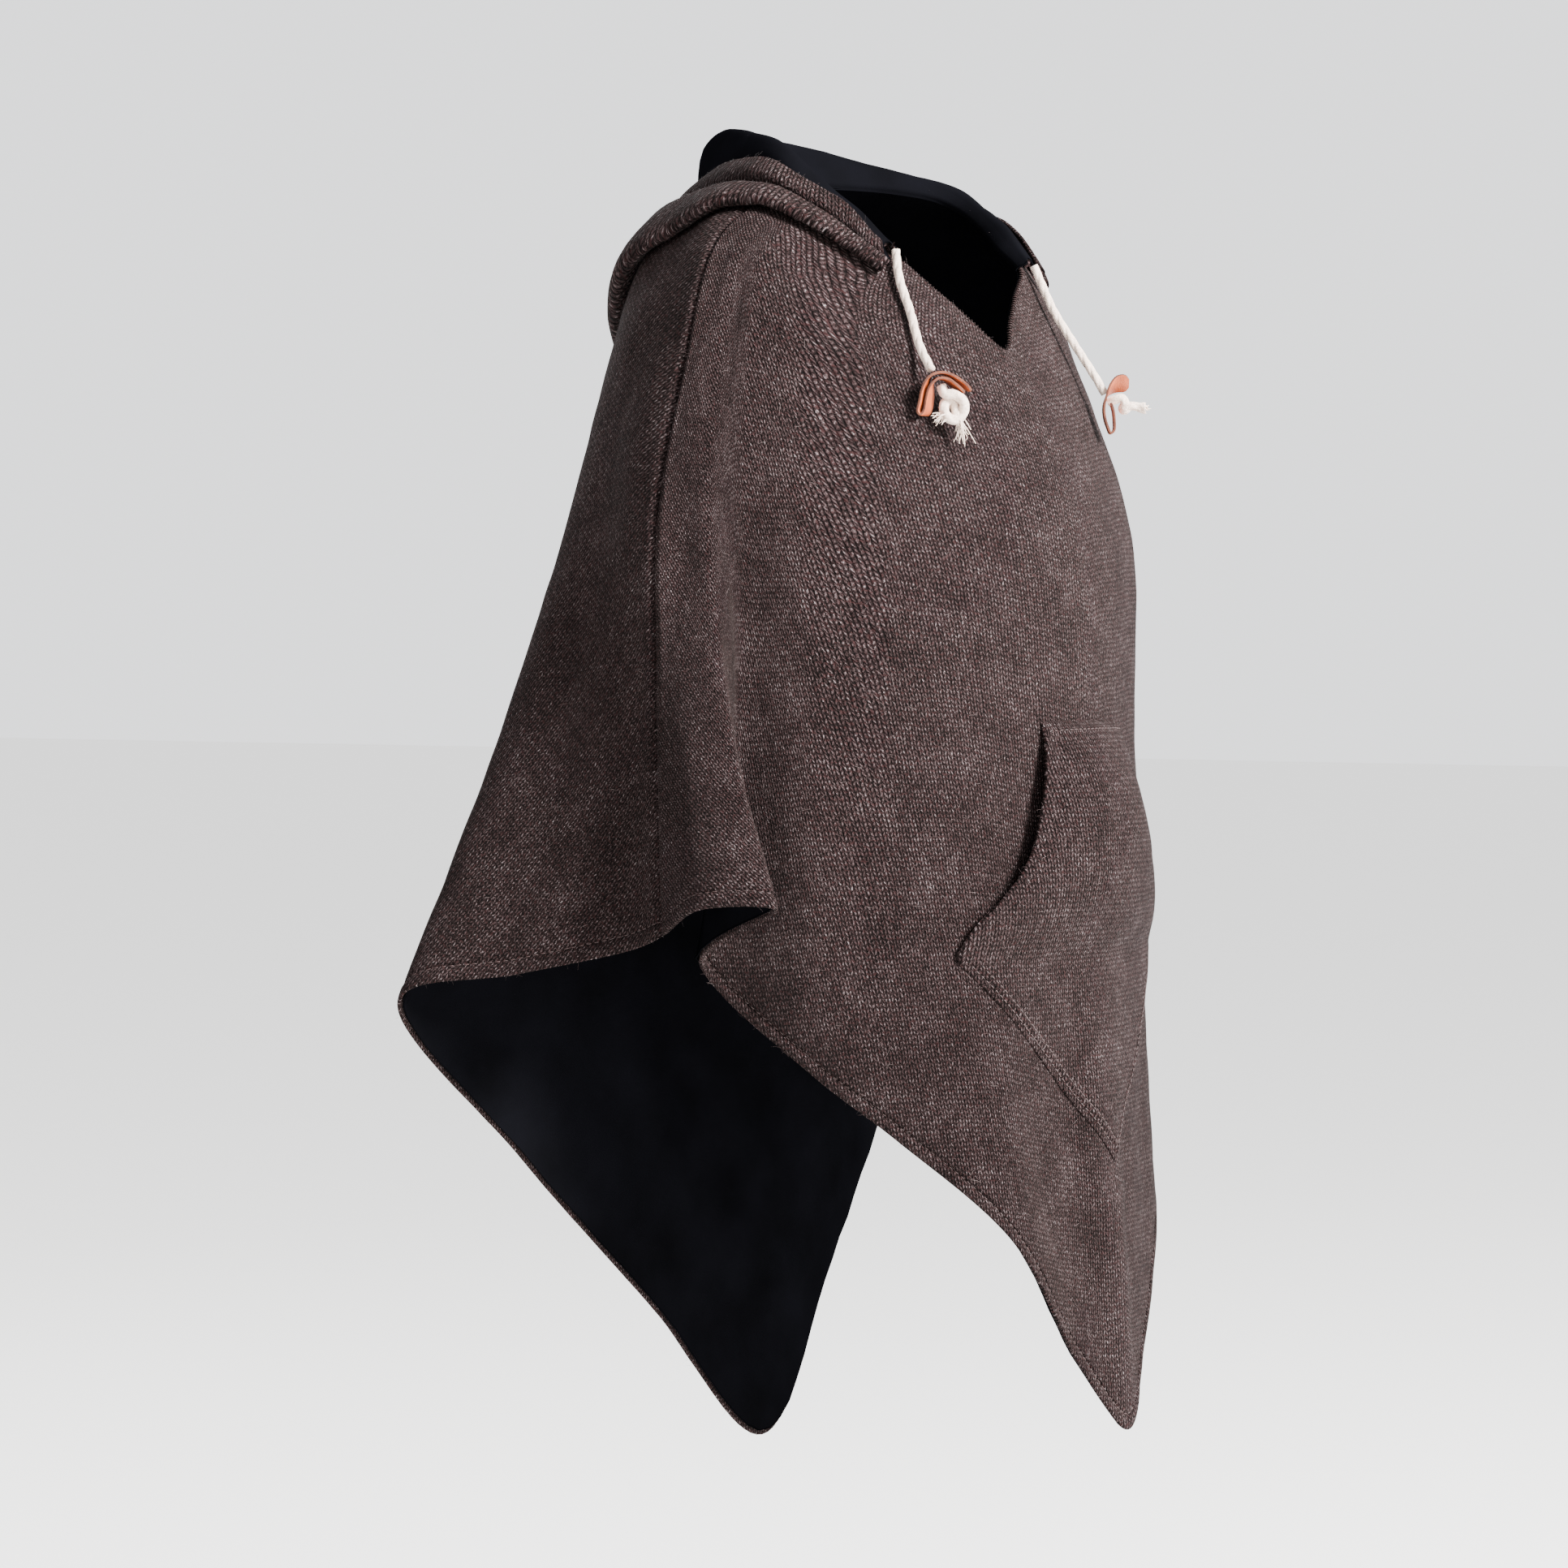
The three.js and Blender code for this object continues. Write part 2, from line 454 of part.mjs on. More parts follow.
// ---- Pocket ----------------------------------------------------------------------------------------
// The front's outer face at x, z: the facet of the front that holds them, and its blended normal.
function onFront(x, z) {
  const last = columnOf("flute_tuck");
  const inTriangle = (a, b, c) => {
    const det = (b.p.x - a.p.x) * (c.p.z - a.p.z) - (c.p.x - a.p.x) * (b.p.z - a.p.z);
    const v = ((x - a.p.x) * (c.p.z - a.p.z) - (c.p.x - a.p.x) * (z - a.p.z)) / det;
    const w = ((b.p.x - a.p.x) * (z - a.p.z) - (x - a.p.x) * (b.p.z - a.p.z)) / det;
    if (v < -1e-6 || w < -1e-6 || v + w > 1 + 1e-6) return null;
    const mix = (q) => a[q].clone().multiplyScalar(1 - v - w).addScaledVector(b[q], v)
      .addScaledVector(c[q], w);
    return { p: mix("p"), n: mix("n").normalize() };
  };
  for (let r = 0; r < shell.length - 1; r += 1)
    for (let k = -last; k < last; k += 1) {
      const c0 = (k + COLUMNS) % COLUMNS;
      const c1 = (k + 1 + COLUMNS) % COLUMNS;
      const hit = inTriangle(shell[r][c0], shell[r + 1][c1], shell[r + 1][c0])
        ?? inTriangle(shell[r][c0], shell[r][c1], shell[r + 1][c1]);
      if (hit) return hit;
    }
  throw new Error(`nothing of the front at ${x}, ${z}`);
}

function pocketHalf(z) {
  if (z >= POCKET_CORNER) return readTable(POCKET_EDGE, "z", "half", z);
  const t = (POCKET_CORNER - z) / (POCKET_CORNER - POCKET_TIP);
  return lerp(readTable(POCKET_EDGE, "z", "half", POCKET_CORNER), POCKET_TIP_HALF, t);
}

function pocketOff(s, z) {
  const opening = Math.min(1, (POCKET_TOP - z) / (POCKET_TOP - POCKET_CORNER));
  const open = Math.pow(Math.sin(Math.PI * opening), 0.8);
  return POCKET_SEAT + open * lerp(POCKET_BULGE, POCKET_LIFT, s * s);
}

function pocketGrid() {
  const heights = [];
  for (let r = 0; r < POCKET_ROWS[0]; r += 1)
    heights.push(lerp(POCKET_TOP, POCKET_CORNER, r / POCKET_ROWS[0]));
  for (let r = 0; r <= POCKET_ROWS[1]; r += 1)
    heights.push(lerp(POCKET_CORNER, POCKET_TIP, r / POCKET_ROWS[1]));
  return withNormals(heights.map((z) => Array.from({ length: POCKET_COLUMNS + 1 }, (_, c) => {
    const s = 1 - (2 * c) / POCKET_COLUMNS;
    return movedOut(onFront(s * pocketHalf(z), z), pocketOff(s, z));
  })), false);
}
addPiece("pocket", wallGeometry(pocketGrid(), WOOL, 0), WOOL_BROWN, 0.95);

// ---- Drawcord ends ---------------------------------------------------------------------------------
function circleShape(radius, sides) {
  const shape = new THREE.Shape();
  for (let i = 0; i < sides; i += 1) {
    const a = (2 * Math.PI * i) / sides;
    const [x, y] = [radius * Math.cos(a), radius * Math.sin(a)];
    if (i === 0) shape.moveTo(x, y); else shape.lineTo(x, y);
  }
  shape.closePath();
  return shape;
}

for (const [name, route] of Object.entries(CORD_ROUTES)) {
  const path = curveThrough(route.map((point) => new THREE.Vector3(...point)));
  const steps = Math.round(path.getLength() / CORD_DIAMETER);
  addPiece(name, new THREE.ExtrudeGeometry(circleShape(CORD_DIAMETER / 2, CORD_SIDES),
    { steps, curveSegments: CORD_SIDES, bevelEnabled: false, extrudePath: path }), CORD_CREAM, 0.9);
}

// A toggle's own axes: out looks away from the chest, across to the wearer's left.
function placeToggle({ centre, turn }) {
  const out = new THREE.Vector3(-Math.sin(radians(turn)), -Math.cos(radians(turn)), 0);
  const up = new THREE.Vector3(0, 0, 1);
  const across = up.clone().cross(out);
  const origin = new THREE.Vector3(...centre);
  const direction = (a, u, o) => new THREE.Vector3().addScaledVector(across, a)
    .addScaledVector(up, u).addScaledVector(out, o);
  return { direction, point: (a, u, o) => direction(a, u, o).add(origin) };
}

function tabGeometry(run, { direction, point }) {
  const halves = [-1, 0, 1].map((side) => (side * TAB_WIDTH) / 2);
  const rows = run.map(({ across, up, twist, lift = 0 }, i) => {
    const narrow = i === 0 || i === run.length - 1 ? 0.55 : 1; // the ends are rounded
    const level = Math.cos(radians(lift));
    const width = direction(-level * Math.sin(radians(twist)), Math.sin(radians(lift)),
      level * Math.cos(radians(twist)));
    return halves.map((half) => point(across, up, 0).addScaledVector(width, half * narrow));
  });
  return wallGeometry(withNormals(rows, false), LEATHER / 2, -LEATHER / 2);
}

// Joins closed meshes that overlap into one.
function joined(geometries) {
  const solids = geometries.map((source) => {
    const bare = source.index ? source.clone() : source;
    bare.deleteAttribute("normal");
    bare.deleteAttribute("uv");
    const merged = mergeVertices(bare, 1e-4);
    return new wasm.Manifold(new wasm.Mesh({
      numProp: 3,
      vertProperties: new Float32Array(merged.getAttribute("position").array),
      triVerts: new Uint32Array(merged.index.array),
    }));
  });
  const mesh = solids.slice(1).reduce((sum, solid) => sum.add(solid), solids[0]).getMesh();
  const geometry = new THREE.BufferGeometry();
  geometry.setAttribute("position", new THREE.Float32BufferAttribute(mesh.vertProperties, 3));
  geometry.setIndex(Array.from(mesh.triVerts));
  geometry.computeVertexNormals();
  return geometry;
}

function turnGeometry({ across, up, out, wide, tall, deep }, { direction, point }) {
  const ball = new THREE.SphereGeometry(1, 10, 7);
  const basis = new THREE.Matrix4().makeBasis(direction(wide, 0, 0), direction(0, tall, 0),
    direction(0, 0, deep)).setPosition(point(across, up, out));
  return ball.applyMatrix4(basis);
}

// One strand: four sides, from a thick root to a thin tip, bent down a little.
function strandGeometry(root, tip) {
  const middle = root.clone().lerp(tip, 0.55).add(new THREE.Vector3(0, 0, 0.8));
  const run = tip.clone().sub(root).normalize();
  const sideways = run.clone().cross(new THREE.Vector3(0.3, 0.2, 1)).normalize();
  const other = run.clone().cross(sideways);
  const positions = [];
  for (const [centre, radius] of [[root, STRAND_ROOT], [middle, lerp(STRAND_ROOT, STRAND_TIP, 0.4)],
    [tip, STRAND_TIP]])
    for (let k = 0; k < 4; k += 1) {
      const a = (k * Math.PI) / 2;
      positions.push(...centre.clone().addScaledVector(sideways, radius * Math.cos(a))
        .addScaledVector(other, radius * Math.sin(a)));
    }
  const index = [0, 2, 1, 0, 3, 2, 8, 9, 10, 8, 10, 11];
  for (const ring of [0, 4])
    for (let k = 0; k < 4; k += 1) {
      const [a, b] = [ring + k, ring + ((k + 1) % 4)];
      index.push(a, b, b + 4, a, b + 4, a + 4);
    }
  const geometry = new THREE.BufferGeometry();
  geometry.setAttribute("position", new THREE.Float32BufferAttribute(positions, 3));
  geometry.setIndex(index);
  return geometry;
}

function frayStrands({ point }) {
  return FRAY_BUNCHES.flatMap((bunch) => Array.from({ length: bunch.strands }, (_, i) => {
    const share = i / (bunch.strands - 1) - 0.5;
    const uneven = Math.sin(i * 7.3); // so that no two strands are alike
    const angle = radians(bunch.direction + bunch.spread * share);
    const length = bunch.length * (1 + 0.18 * uneven);
    const root = point(bunch.across + 4 * share, bunch.up, bunch.out + uneven);
    const tip = point(bunch.across + 4 * share + length * Math.cos(angle),
      bunch.up + length * Math.sin(angle), bunch.out + 2.4 * uneven);
    return strandGeometry(root, tip);
  }));
}

for (const [side, toggle] of Object.entries(TOGGLES)) {
  const place = placeToggle(toggle);
  const turns = KNOT_TURNS[side].map((turn) => turnGeometry(turn, place));
  const strands = side === "right" ? frayStrands(place) : [];
  addPiece(`tab_${side}`, tabGeometry(TAB_RUNS[side], place), TAB_TAN, 0.6);
  addPiece(`knot_${side}`, joined([...turns, ...strands]), CORD_CREAM, 0.95);
}

export default group;
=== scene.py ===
import math
from functools import partial

import bpy
import numpy as np
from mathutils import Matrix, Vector
from mathutils.bvhtree import BVHTree


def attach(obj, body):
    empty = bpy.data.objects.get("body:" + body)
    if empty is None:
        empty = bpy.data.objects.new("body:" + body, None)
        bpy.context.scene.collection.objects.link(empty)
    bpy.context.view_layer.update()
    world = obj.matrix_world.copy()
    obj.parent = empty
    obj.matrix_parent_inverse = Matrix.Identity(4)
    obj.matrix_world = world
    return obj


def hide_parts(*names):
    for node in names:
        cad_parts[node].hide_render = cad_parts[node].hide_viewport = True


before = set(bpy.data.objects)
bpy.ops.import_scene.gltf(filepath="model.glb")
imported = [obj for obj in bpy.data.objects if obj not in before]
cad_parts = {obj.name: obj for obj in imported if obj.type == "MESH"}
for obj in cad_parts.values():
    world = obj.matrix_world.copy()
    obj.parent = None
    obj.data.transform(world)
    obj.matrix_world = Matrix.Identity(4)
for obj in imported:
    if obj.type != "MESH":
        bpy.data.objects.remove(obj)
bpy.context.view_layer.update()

MM = 0.001
random = np.random.default_rng(11)

# ---- Sizes of the real poncho, in millimetres ----
WOOL = 2.8
LINING = 1.0
GAP = 0.3
NECK_TURN = 1  # the lining starts this far below the neckline
HEM_TURN = 3  # and ends this far above the hem
CORD_DIAMETER = 6
LEATHER = 1.6
TAB_WIDTH = 14
WALE = 4.3  # one column of knit stitches
COURSE = 3.3  # one row of them
PANEL_SIDE_TO_SIDE = 976  # a panel lies flat as a square that stands on its point
PANEL_HEIGHT = 891
SIDE_CORNER_DROP = 403  # from the shoulders down to the side corners
BACK_LONGER = 14
FAR = 99  # stands for no edge near


# ---- Camera ----
LENS, SENSOR = 113.42, 36
CAMERA_PLACE, CAMERA_AIM = (-2.9673, -1.8532, -0.30105), (-0.0337, 0.0519, -0.4232)


def aimed(name, data, place, aim):
    """A camera or lamp at a place, looking at another."""
    thing = bpy.data.objects.new(name, data)
    thing.location = place
    thing.rotation_euler = (Vector(aim) - thing.location).to_track_quat("-Z", "Y").to_euler()
    bpy.context.scene.collection.objects.link(thing)
    return thing


camera = bpy.data.cameras.new("camera")
camera.lens, camera.sensor_width = LENS, SENSOR
bpy.context.scene.camera = aimed("camera", camera, CAMERA_PLACE, CAMERA_AIM)


# ---- Materials ----
def linear(code):
    """An sRGB hex colour as the linear values that Blender's shaders take."""
    parts = [int(code[i:i + 2], 16) / 255 for i in (1, 3, 5)]
    return [p / 12.92 if p <= 0.04045 else ((p + 0.055) / 1.055) ** 2.4 for p in parts] + [1.0]


class Finish:
    """A material with its shader, and one way to add a node with its settings and links."""

    def __init__(self, name, **shader):
        self.material = bpy.data.materials.new(name)
        self.material.use_nodes = True
        self.tree = self.material.node_tree
        self.shader = self.tree.nodes["Principled BSDF"]
        for socket, value in shader.items():
            self.shader.inputs[socket.replace("_", " ")].default_value = value

    def add(self, kind, settings=None, **inputs):
        node = self.tree.nodes.new(f"ShaderNode{kind}")
        for key, value in (settings or {}).items():
            setattr(node, key, value)
        for key, value in inputs.items():
            socket = node.inputs[int(key[1:]) if key[1:].isdigit() else key.replace("_", " ")]
            if isinstance(value, bpy.types.NodeSocket):
                self.tree.links.new(value, socket)
            else:
                socket.default_value = value
        return node

    def math(self, operation, a, b=0.0, c=0.0):
        return self.add("Math", {"operation": operation}, i0=a, i1=b, i2=c).outputs[0]

    def ramp(self, factor, *stops):
        node = self.add("ValToRGB", i0=factor)
        bands = node.color_ramp.elements
        while len(bands) < len(stops):
            bands.new(0.5)
        for band, (place, colour) in zip(bands, stops):
            band.position, band.color = place, linear(colour)
        return node.outputs[0]

    def mix(self, factor, a, b):
        return self.add("Mix", {"data_type": "RGBA"}, i0=factor, i6=a, i7=b).outputs[2]

    def total(self, start, *terms):
        """The start plus each value times its share."""
        for value, share in terms:
            start = self.math("MULTIPLY_ADD", value, share, start)
        return start

    def spot(self):
        return self.add("TexCoord").outputs["Object"]

    def noise(self, at, scale, detail=2.0, output=0, **more):
        return self.add("TexNoise", Vector=at, Scale=scale, Detail=detail, **more).outputs[output]

    def colour(self, output):
        self.tree.links.new(output, self.shader.inputs["Base Color"])

    def relief(self, height, distance, strength=1.0):
        bump = self.add("Bump", i0=strength, i1=distance, Height=height)
        self.tree.links.new(bump.outputs[0], self.shader.inputs["Normal"])


def wool_knit():
    """Stocking stitch in brushed wool, spun from dark brown, rust and pale grey fibres, with painted shade
    in the gaps between the stitches and painted highlights on their loops.
    """
    f = Finish("brushed_wool_stocking_stitch", Roughness=0.92, Sheen_Weight=0.05,
               Sheen_Roughness=0.45, Specular_IOR_Level=0.04)
    f.shader.inputs["Sheen Tint"].default_value = linear("#8a7a73")
    flat = f.add("UVMap", {"uv_map": "cut"}).outputs[0]
    wander = f.noise(flat, 70.0, output="Color")
    moved = f.add("VectorMath", {"operation": "MULTIPLY_ADD"}, i0=wander,
                  i1=(0.0022, 0.0022, 0.0), i2=flat).outputs[0]
    axes = f.add("SeparateXYZ", i0=moved)
    across = f.math("DIVIDE", axes.outputs[0], WALE * MM)
    side = f.math("MULTIPLY", f.math("ABSOLUTE", f.math("SUBTRACT", f.math("FRACT", across), 0.5)), 2.0)
    down = f.math("MULTIPLY_ADD", side, 0.75, f.math("DIVIDE", axes.outputs[1], COURSE * MM))
    leg = f.math("SINE", f.math("MULTIPLY", side, math.pi))
    loop = f.math("SINE", f.math("MULTIPLY", f.math("FRACT", down), math.pi))
    stitch = f.math("MULTIPLY", f.math("POWER", leg, 0.6), f.math("MULTIPLY_ADD", loop, 0.6, 0.4))
    place = f.add("CombineXYZ", i0=f.math("FLOOR", f.math("MULTIPLY", across, 2.0)),
                  i1=f.math("FLOOR", down))
    shade = f.add("TexWhiteNoise", i0=place.outputs[0]).outputs["Value"]
    drawn_out = f.add("Mapping", Vector=moved, Scale=(1.0, 0.45, 1.0)).outputs[0]
    hairs = f.noise(drawn_out, 1250.0, Roughness=0.7, Distortion=1.6)
    blotch = f.noise(flat, 26.0, 5.0, Roughness=0.65)
    # The stitch term paints shade into the gaps between the loops and painted highlights onto their
    # crowns; the per-leg tone, hairs and blotch are the yarn's own heather.
    heather_and_painted_stitch_shade = f.total(-0.95, (shade, 0.14), (hairs, 1.5), (blotch, 0.4), (stitch, 0.5))
    base = f.ramp(heather_and_painted_stitch_shade, (0.16, "#020101"), (0.42, "#1b1111"), (0.64, "#3a2e2e"), (1.0, "#827b7b"))
    rust = f.math("MULTIPLY", f.math("GREATER_THAN", f.noise(moved, 420.0), 0.6), 0.55)
    f.colour(f.mix(rust, base, linear("#2a1717")))
    f.relief(f.total(stitch, (f.noise(flat, 1500.0), 0.25), (hairs, 0.5)), 0.0024)
    return f.material


def nap_fibre():
    """Loose wool ends brushed up from the knit, a few of them pale."""
    f = Finish("brushed_up_wool_fibre", Roughness=0.85, Sheen_Weight=0.1, Specular_IOR_Level=0.15)
    fibre = f.add("UVMap", {"uv_map": "fibre"}).outputs[0]
    pick = f.add("TexWhiteNoise", i0=fibre).outputs["Value"]
    f.colour(f.ramp(pick, (0.0, "#0e0707"), (0.55, "#221615"), (0.9, "#3d3130"), (1.0, "#665b59")))
    return f.material


def lining_cotton():
    """Tightly woven navy cotton, matt, its colour painted nearly black all over as painted shade for the
    dark inside.
    """
    f = Finish("navy_cotton_lining_painted_shade", Roughness=0.8, Specular_IOR_Level=0.0)
    spot = f.spot()
    # Near-black ramp: painted shade, darker than the navy cloth itself.
    f.colour(f.ramp(f.noise(spot, 18.0, 4.0), (0.25, "#050506"), (0.75, "#09090c")))
    weave, soft = f.noise(spot, 1400.0), f.noise(spot, 45.0)
    f.relief(f.total(soft, (weave, 0.15)), 0.0012, 0.5)
    return f.material


def yarn(name, scale, detail, distortion, stops, relief, **shader):
    """A material whose colour and relief both come from one fine pattern, so the relief's hollows are
    painted darker as painted shade.
    """
    f = Finish(name, **shader)
    fibres = f.noise(f.spot(), scale, detail, Distortion=distortion)
    f.colour(f.ramp(fibres, *stops))
    f.relief(fibres, *relief)
    return f.material


def tan_leather(cut_edge=False):
    """Orange-tan leather, with cut edges that are darker and fibrous: the dye stays on the faces."""
    name = "tan_leather_cut_edge" if cut_edge else "vegetable_tanned_leather"
    f = Finish(name, Roughness=0.85 if cut_edge else 0.5, Specular_IOR_Level=0.35)
    spot = f.spot()
    dark, pale = ("#3a1b10", "#5f3320") if cut_edge else ("#7a3313", "#98461e")
    f.colour(f.ramp(f.noise(spot, 120.0, 4.0), (0.3, dark), (0.7, pale)))
    if cut_edge:
        f.relief(f.noise(spot, 1800.0, 3.0), 0.0008)
    else:
        f.relief(f.add("TexVoronoi", Vector=spot, Scale=1500.0).outputs["Distance"], 0.0003, 0.5)
    return f.material


WOOL_KNIT = wool_knit()
NAP = nap_fibre()
NAVY_LINING_PAINTED_SHADE = lining_cotton()
# Undyed cotton, loosely plied: cream with a soft fuzz; the hollows of its relief are painted a darker,
# rosier cream, which is painted shade.
COTTON_CORD = yarn("undyed_cotton_cord", 900.0, 4.0, 0.8,
                   ((0.2, "#a08678"), (0.5, "#c8b3a4"), (0.8, "#e2d3c6")), (0.0006, 0.7),
                   Roughness=0.9, Sheen_Weight=0.3, Specular_IOR_Level=0.2)
LEATHER_FACE = tan_leather()
LEATHER_EDGE = tan_leather(cut_edge=True)
# Brown sewing thread, a shade redder than the wool, with a slight shine.
THREAD = yarn("brown_sewing_thread", 800.0, 2.0, 0.0, ((0.3, "#1c100f"), (0.7, "#35211e")),
              (0.0003, 0.6), Roughness=0.55, Specular_IOR_Level=0.4)

# ---- Tables: the same values as the solids ----
FIGURE = {
    "z": [20, -2, -20, -50, -80, -120, -175, -240, -330],
    "side": [90, 102, 142, 196, 214, 231, 252, 270, 280],
    "front": [66, 76, 84, 94, 101, 112, 138, 160, 172],
    "back": [74, 88, 102, 120, 132, 141, 147, 150, 150],
}
FRONT_SQUARENESS, BACK_SQUARENESS = 1.14, 0.88
V_BOTTOM, V_TOP = np.array([0, -110, -119.0]), np.array([-87, -72, -56.0])
SHOULDER_POINT, NAPE = np.array([-101, 0, -2.0]), np.array([0, 82, 8.0])

# Each rib: its place on the neckline, its angle round the figure, the height where it leaves it,
# its hem point, the fold's shift there, and the columns up to the next rib.
RIBS = {
    "front_centre": (0.0, 0, -250, 0, -210, -864, 0, 0, 2),
    "front_near": (0.33, 12, -250, -44, -198, -815, 0, 2, 2),
    "front_ridge": (0.66, 26, -250, -104, -168, -727, 0, -12, 2),
    "front_flank": (1.0, 42, -250, -160, -132, -656, 8, 18, 2),
    "front_side": (1.3, 56, -230, -206, -96, -611, 20, 29, 2),
    "flute_tuck": (1.55, 68, -200, -244, -62, -541, 20, 55, 2),
    "flute_crest": (1.72, 76, -200, -266, -38, -494, -22, -70, 2),
    "flute_back": (1.86, 83, -200, -278, -20, -495, -30, -40, 2),
    "seam": (2.0, 90, -240, -285, -4, -516, -2, -10, 1),
    "seam_valley": (2.12, 97, -220, -287, 14, -526, 6, 0, 2),
    "back_side": (2.3, 111, -160, -302, 70, -542, -16, 10, 2),
    "back_corner": (2.5, 127, -110, -310, 134, -558, -42, 18, 3),
    "back_flank": (2.68, 145, -170, -225, 132, -676, -10, 5, 2),
    "back_near": (2.84, 163, -220, -112, 112, -792, 0, 0, 2),
    "back_centre": (3.0, 180, -240, 0, 94, -895, 0, 0, 0),
}
FOLD_GROWTH, LEFT_FOLDS, BODY_ROWS, ROW_POWER = 2.1, 0.45, 12, 1.35
ON_FIGURE, HANGING = (0.22, 0.55, 1), (0.33, 0.67, 1)

HOOD = {
    "neck": [3.0, 2.7, 2.5, 2.3, 2.0, 1.6, 1.3, 1.0],
    "crestOut": [30, 29, 26, 20, 12, 10, 9.5, 6],
    "crest": [40, 37, 34, 29, 18, -7, -26, -50],
    "leftCrest": [40, 31, 22, 13, -2, -13, -27, -50],
    "roll": [16, 14, 11, 8.5, 7.5, 7.5, 7.5, 7.5],
    "rimOut": [58, 55, 46, 36, 27, 23, 21, 17],
    "rim": [-8, -3, 5, 9, 7, -9, -23, -49],
    "leftRim": [-8, -9, -8, -10, -13, -19, -32, -56],
    "heelAlong": [70, 62, 52, 40, 28, 22, 18, 14],
    "creaseAlong": [88, 78, 66, 54, 40, 31, 25, 19],
    "creaseOff": [15, 12, 9, 8.5, 8, 8, 8, 7.5],
    "low": [182, 162, 142, 108, 67, 50, 38, 27],
    "fold": [14, 10, 8, 7, 6.5, 6, 6, 5],
}
HOOD_UNDER_OFF, RIM_CLEAR, HOOD_SEAM_OFF, LEFT_BAG, LEFT_RIM_OUT = 5.2, 5, 0.8, 0.55, 5
CREST_CLEAR, LEG_RISE, LEG_OUT, BAND_OUT = 8, 0.6, 0.7, 2.5
UNDER_SHARES, FOLD_UNDER, FOLD_TIP, FOLD_OVER, FOLD_DIP = (0.34, 0.68), 0.7, 0.45, 0.5, 1

POCKET_EDGE = {  # half the pocket's width down its hand openings
    "z": [-376, -410, -440, -470, -490, -510, -535],
    "half": [50, 56, 66, 79, 96, 117, 130],
}
POCKET_TOP, POCKET_CORNER, POCKET_TIP, POCKET_TIP_HALF = -376, -535, -679, 2
POCKET_SEAT, POCKET_BULGE, POCKET_LIFT = 0.8, 28, 11

CORD_ROUTES = {
    "right": [[-94, -78, -55], [-98.5, -83.5, -74], [-101, -94, -98], [-107, -105, -121],
              [-114, -118.5, -138]],
    "left": [[90, -80, -55], [95, -83.5, -68], [101, -90, -87], [108, -101, -108],
             [116, -117, -136]],
}
CORD_TAILS = {"right": [], "left": [[119.6, -121.4, -146]]}  # what runs on, up into the tab
TOGGLES = {"right": ((-106.5, -130.5, -161), 42), "left": ((122, -125, -155), 57)}

# Main creases of each panel as it lies flat: from p, q to p, q, then width, depth (out is minus).
CREASES = {
    "front": [
        (-66, 62, -215, 190, 17, 4.4), (-54, 92, -170, 240, 15, -3.2), (-120, 60, -255, 150, 16, 3.0),
        (-30, 140, -110, 330, 20, 1.8), (60, 70, 190, 215, 15, 2.6), (34, 130, 100, 300, 18, 1.6),
        (120, 70, 240, 140, 14, -2.0), (-14, 560, -6, 880, 17, -4.5), (26, 620, 20, 860, 14, 2.6),
        (-150, 330, -210, 640, 26, 2.8), (-250, 250, -330, 520, 24, -2.5), (150, 300, 230, 600, 26, 2.8),
        (250, 240, 340, 500, 22, -2.6), (-90, 640, -60, 800, 18, 2.0), (100, 620, 66, 790, 18, 2.2),
    ],
    "back": [
        (-150, 60, -300, 330, 24, 2.6), (-80, 210, -130, 640, 30, 3.2), (60, 190, 110, 700, 30, 3.4),
        (170, 80, 320, 360, 22, 2.8), (-4, 260, 10, 860, 28, -3.0), (-230, 240, -330, 470, 20, -2.4),
        (210, 260, 300, 520, 22, -2.6), (-120, 520, -60, 800, 18, 1.8),
    ],
}
CREASE_BEND, CREASE_WAVES, CREASE_ENDS = 0.35, 2.6, 0.8
STILL_SEAM, STILL_NECK = 2.5, 90  # creases grow over these columns and this length


# ---- Curves and surfaces ----
def spline(points, t, closed=False):
    """The centripetal Catmull-Rom curve through the points, at each t from 0 to 1."""
    points, t = np.asarray(points, float), np.atleast_1d(np.asarray(t, float))
    count = len(points)
    place = (count if closed else count - 1) * t
    if closed:
        i = np.floor(place).astype(int)
        near = [points[(i + k) % count] for k in (-1, 0, 1, 2)]
    else:
        i = np.clip(np.floor(place).astype(int), 0, count - 2)
        ends = np.vstack([2 * points[:1] - points[1:2], points, 2 * points[-1:] - points[-2:-1]])
        near = [ends[i + k] for k in range(4)]
    w = (place - i)[:, None]
    a, b, c, d = near
    gap = [np.sqrt(np.linalg.norm(q - p, axis=1))[:, None] for p, q in zip(near, near[1:])]
    gap[1] = np.where(gap[1] < 1e-4, 1.0, gap[1])
    gap[0], gap[2] = (np.where(g < 1e-4, gap[1], g) for g in (gap[0], gap[2]))
    t1 = ((b - a) / gap[0] - (c - a) / (gap[0] + gap[1]) + (c - b) / gap[1]) * gap[1]
    t2 = ((c - b) / gap[1] - (d - b) / (gap[1] + gap[2]) + (d - c) / gap[2]) * gap[1]
    return b + t1 * w + (3 * (c - b) - 2 * t1 - t2) * w ** 2 + (2 * (b - c) + t1 + t2) * w ** 3


def run_length(points):
    steps = np.linalg.norm(np.diff(points, axis=0), axis=1)
    return np.concatenate([[0], np.cumsum(steps)])


def read_along(run, points, at):
    """Points read at distances along a line."""
    return np.stack([np.interp(at, run, points[:, k]) for k in range(3)], axis=-1)


def spline_by_length(points, share):
    marks = np.linspace(0, 1, 201)
    run = run_length(spline(points, marks))
    return spline(points, np.interp(np.asarray(share) * run[-1], run, marks))


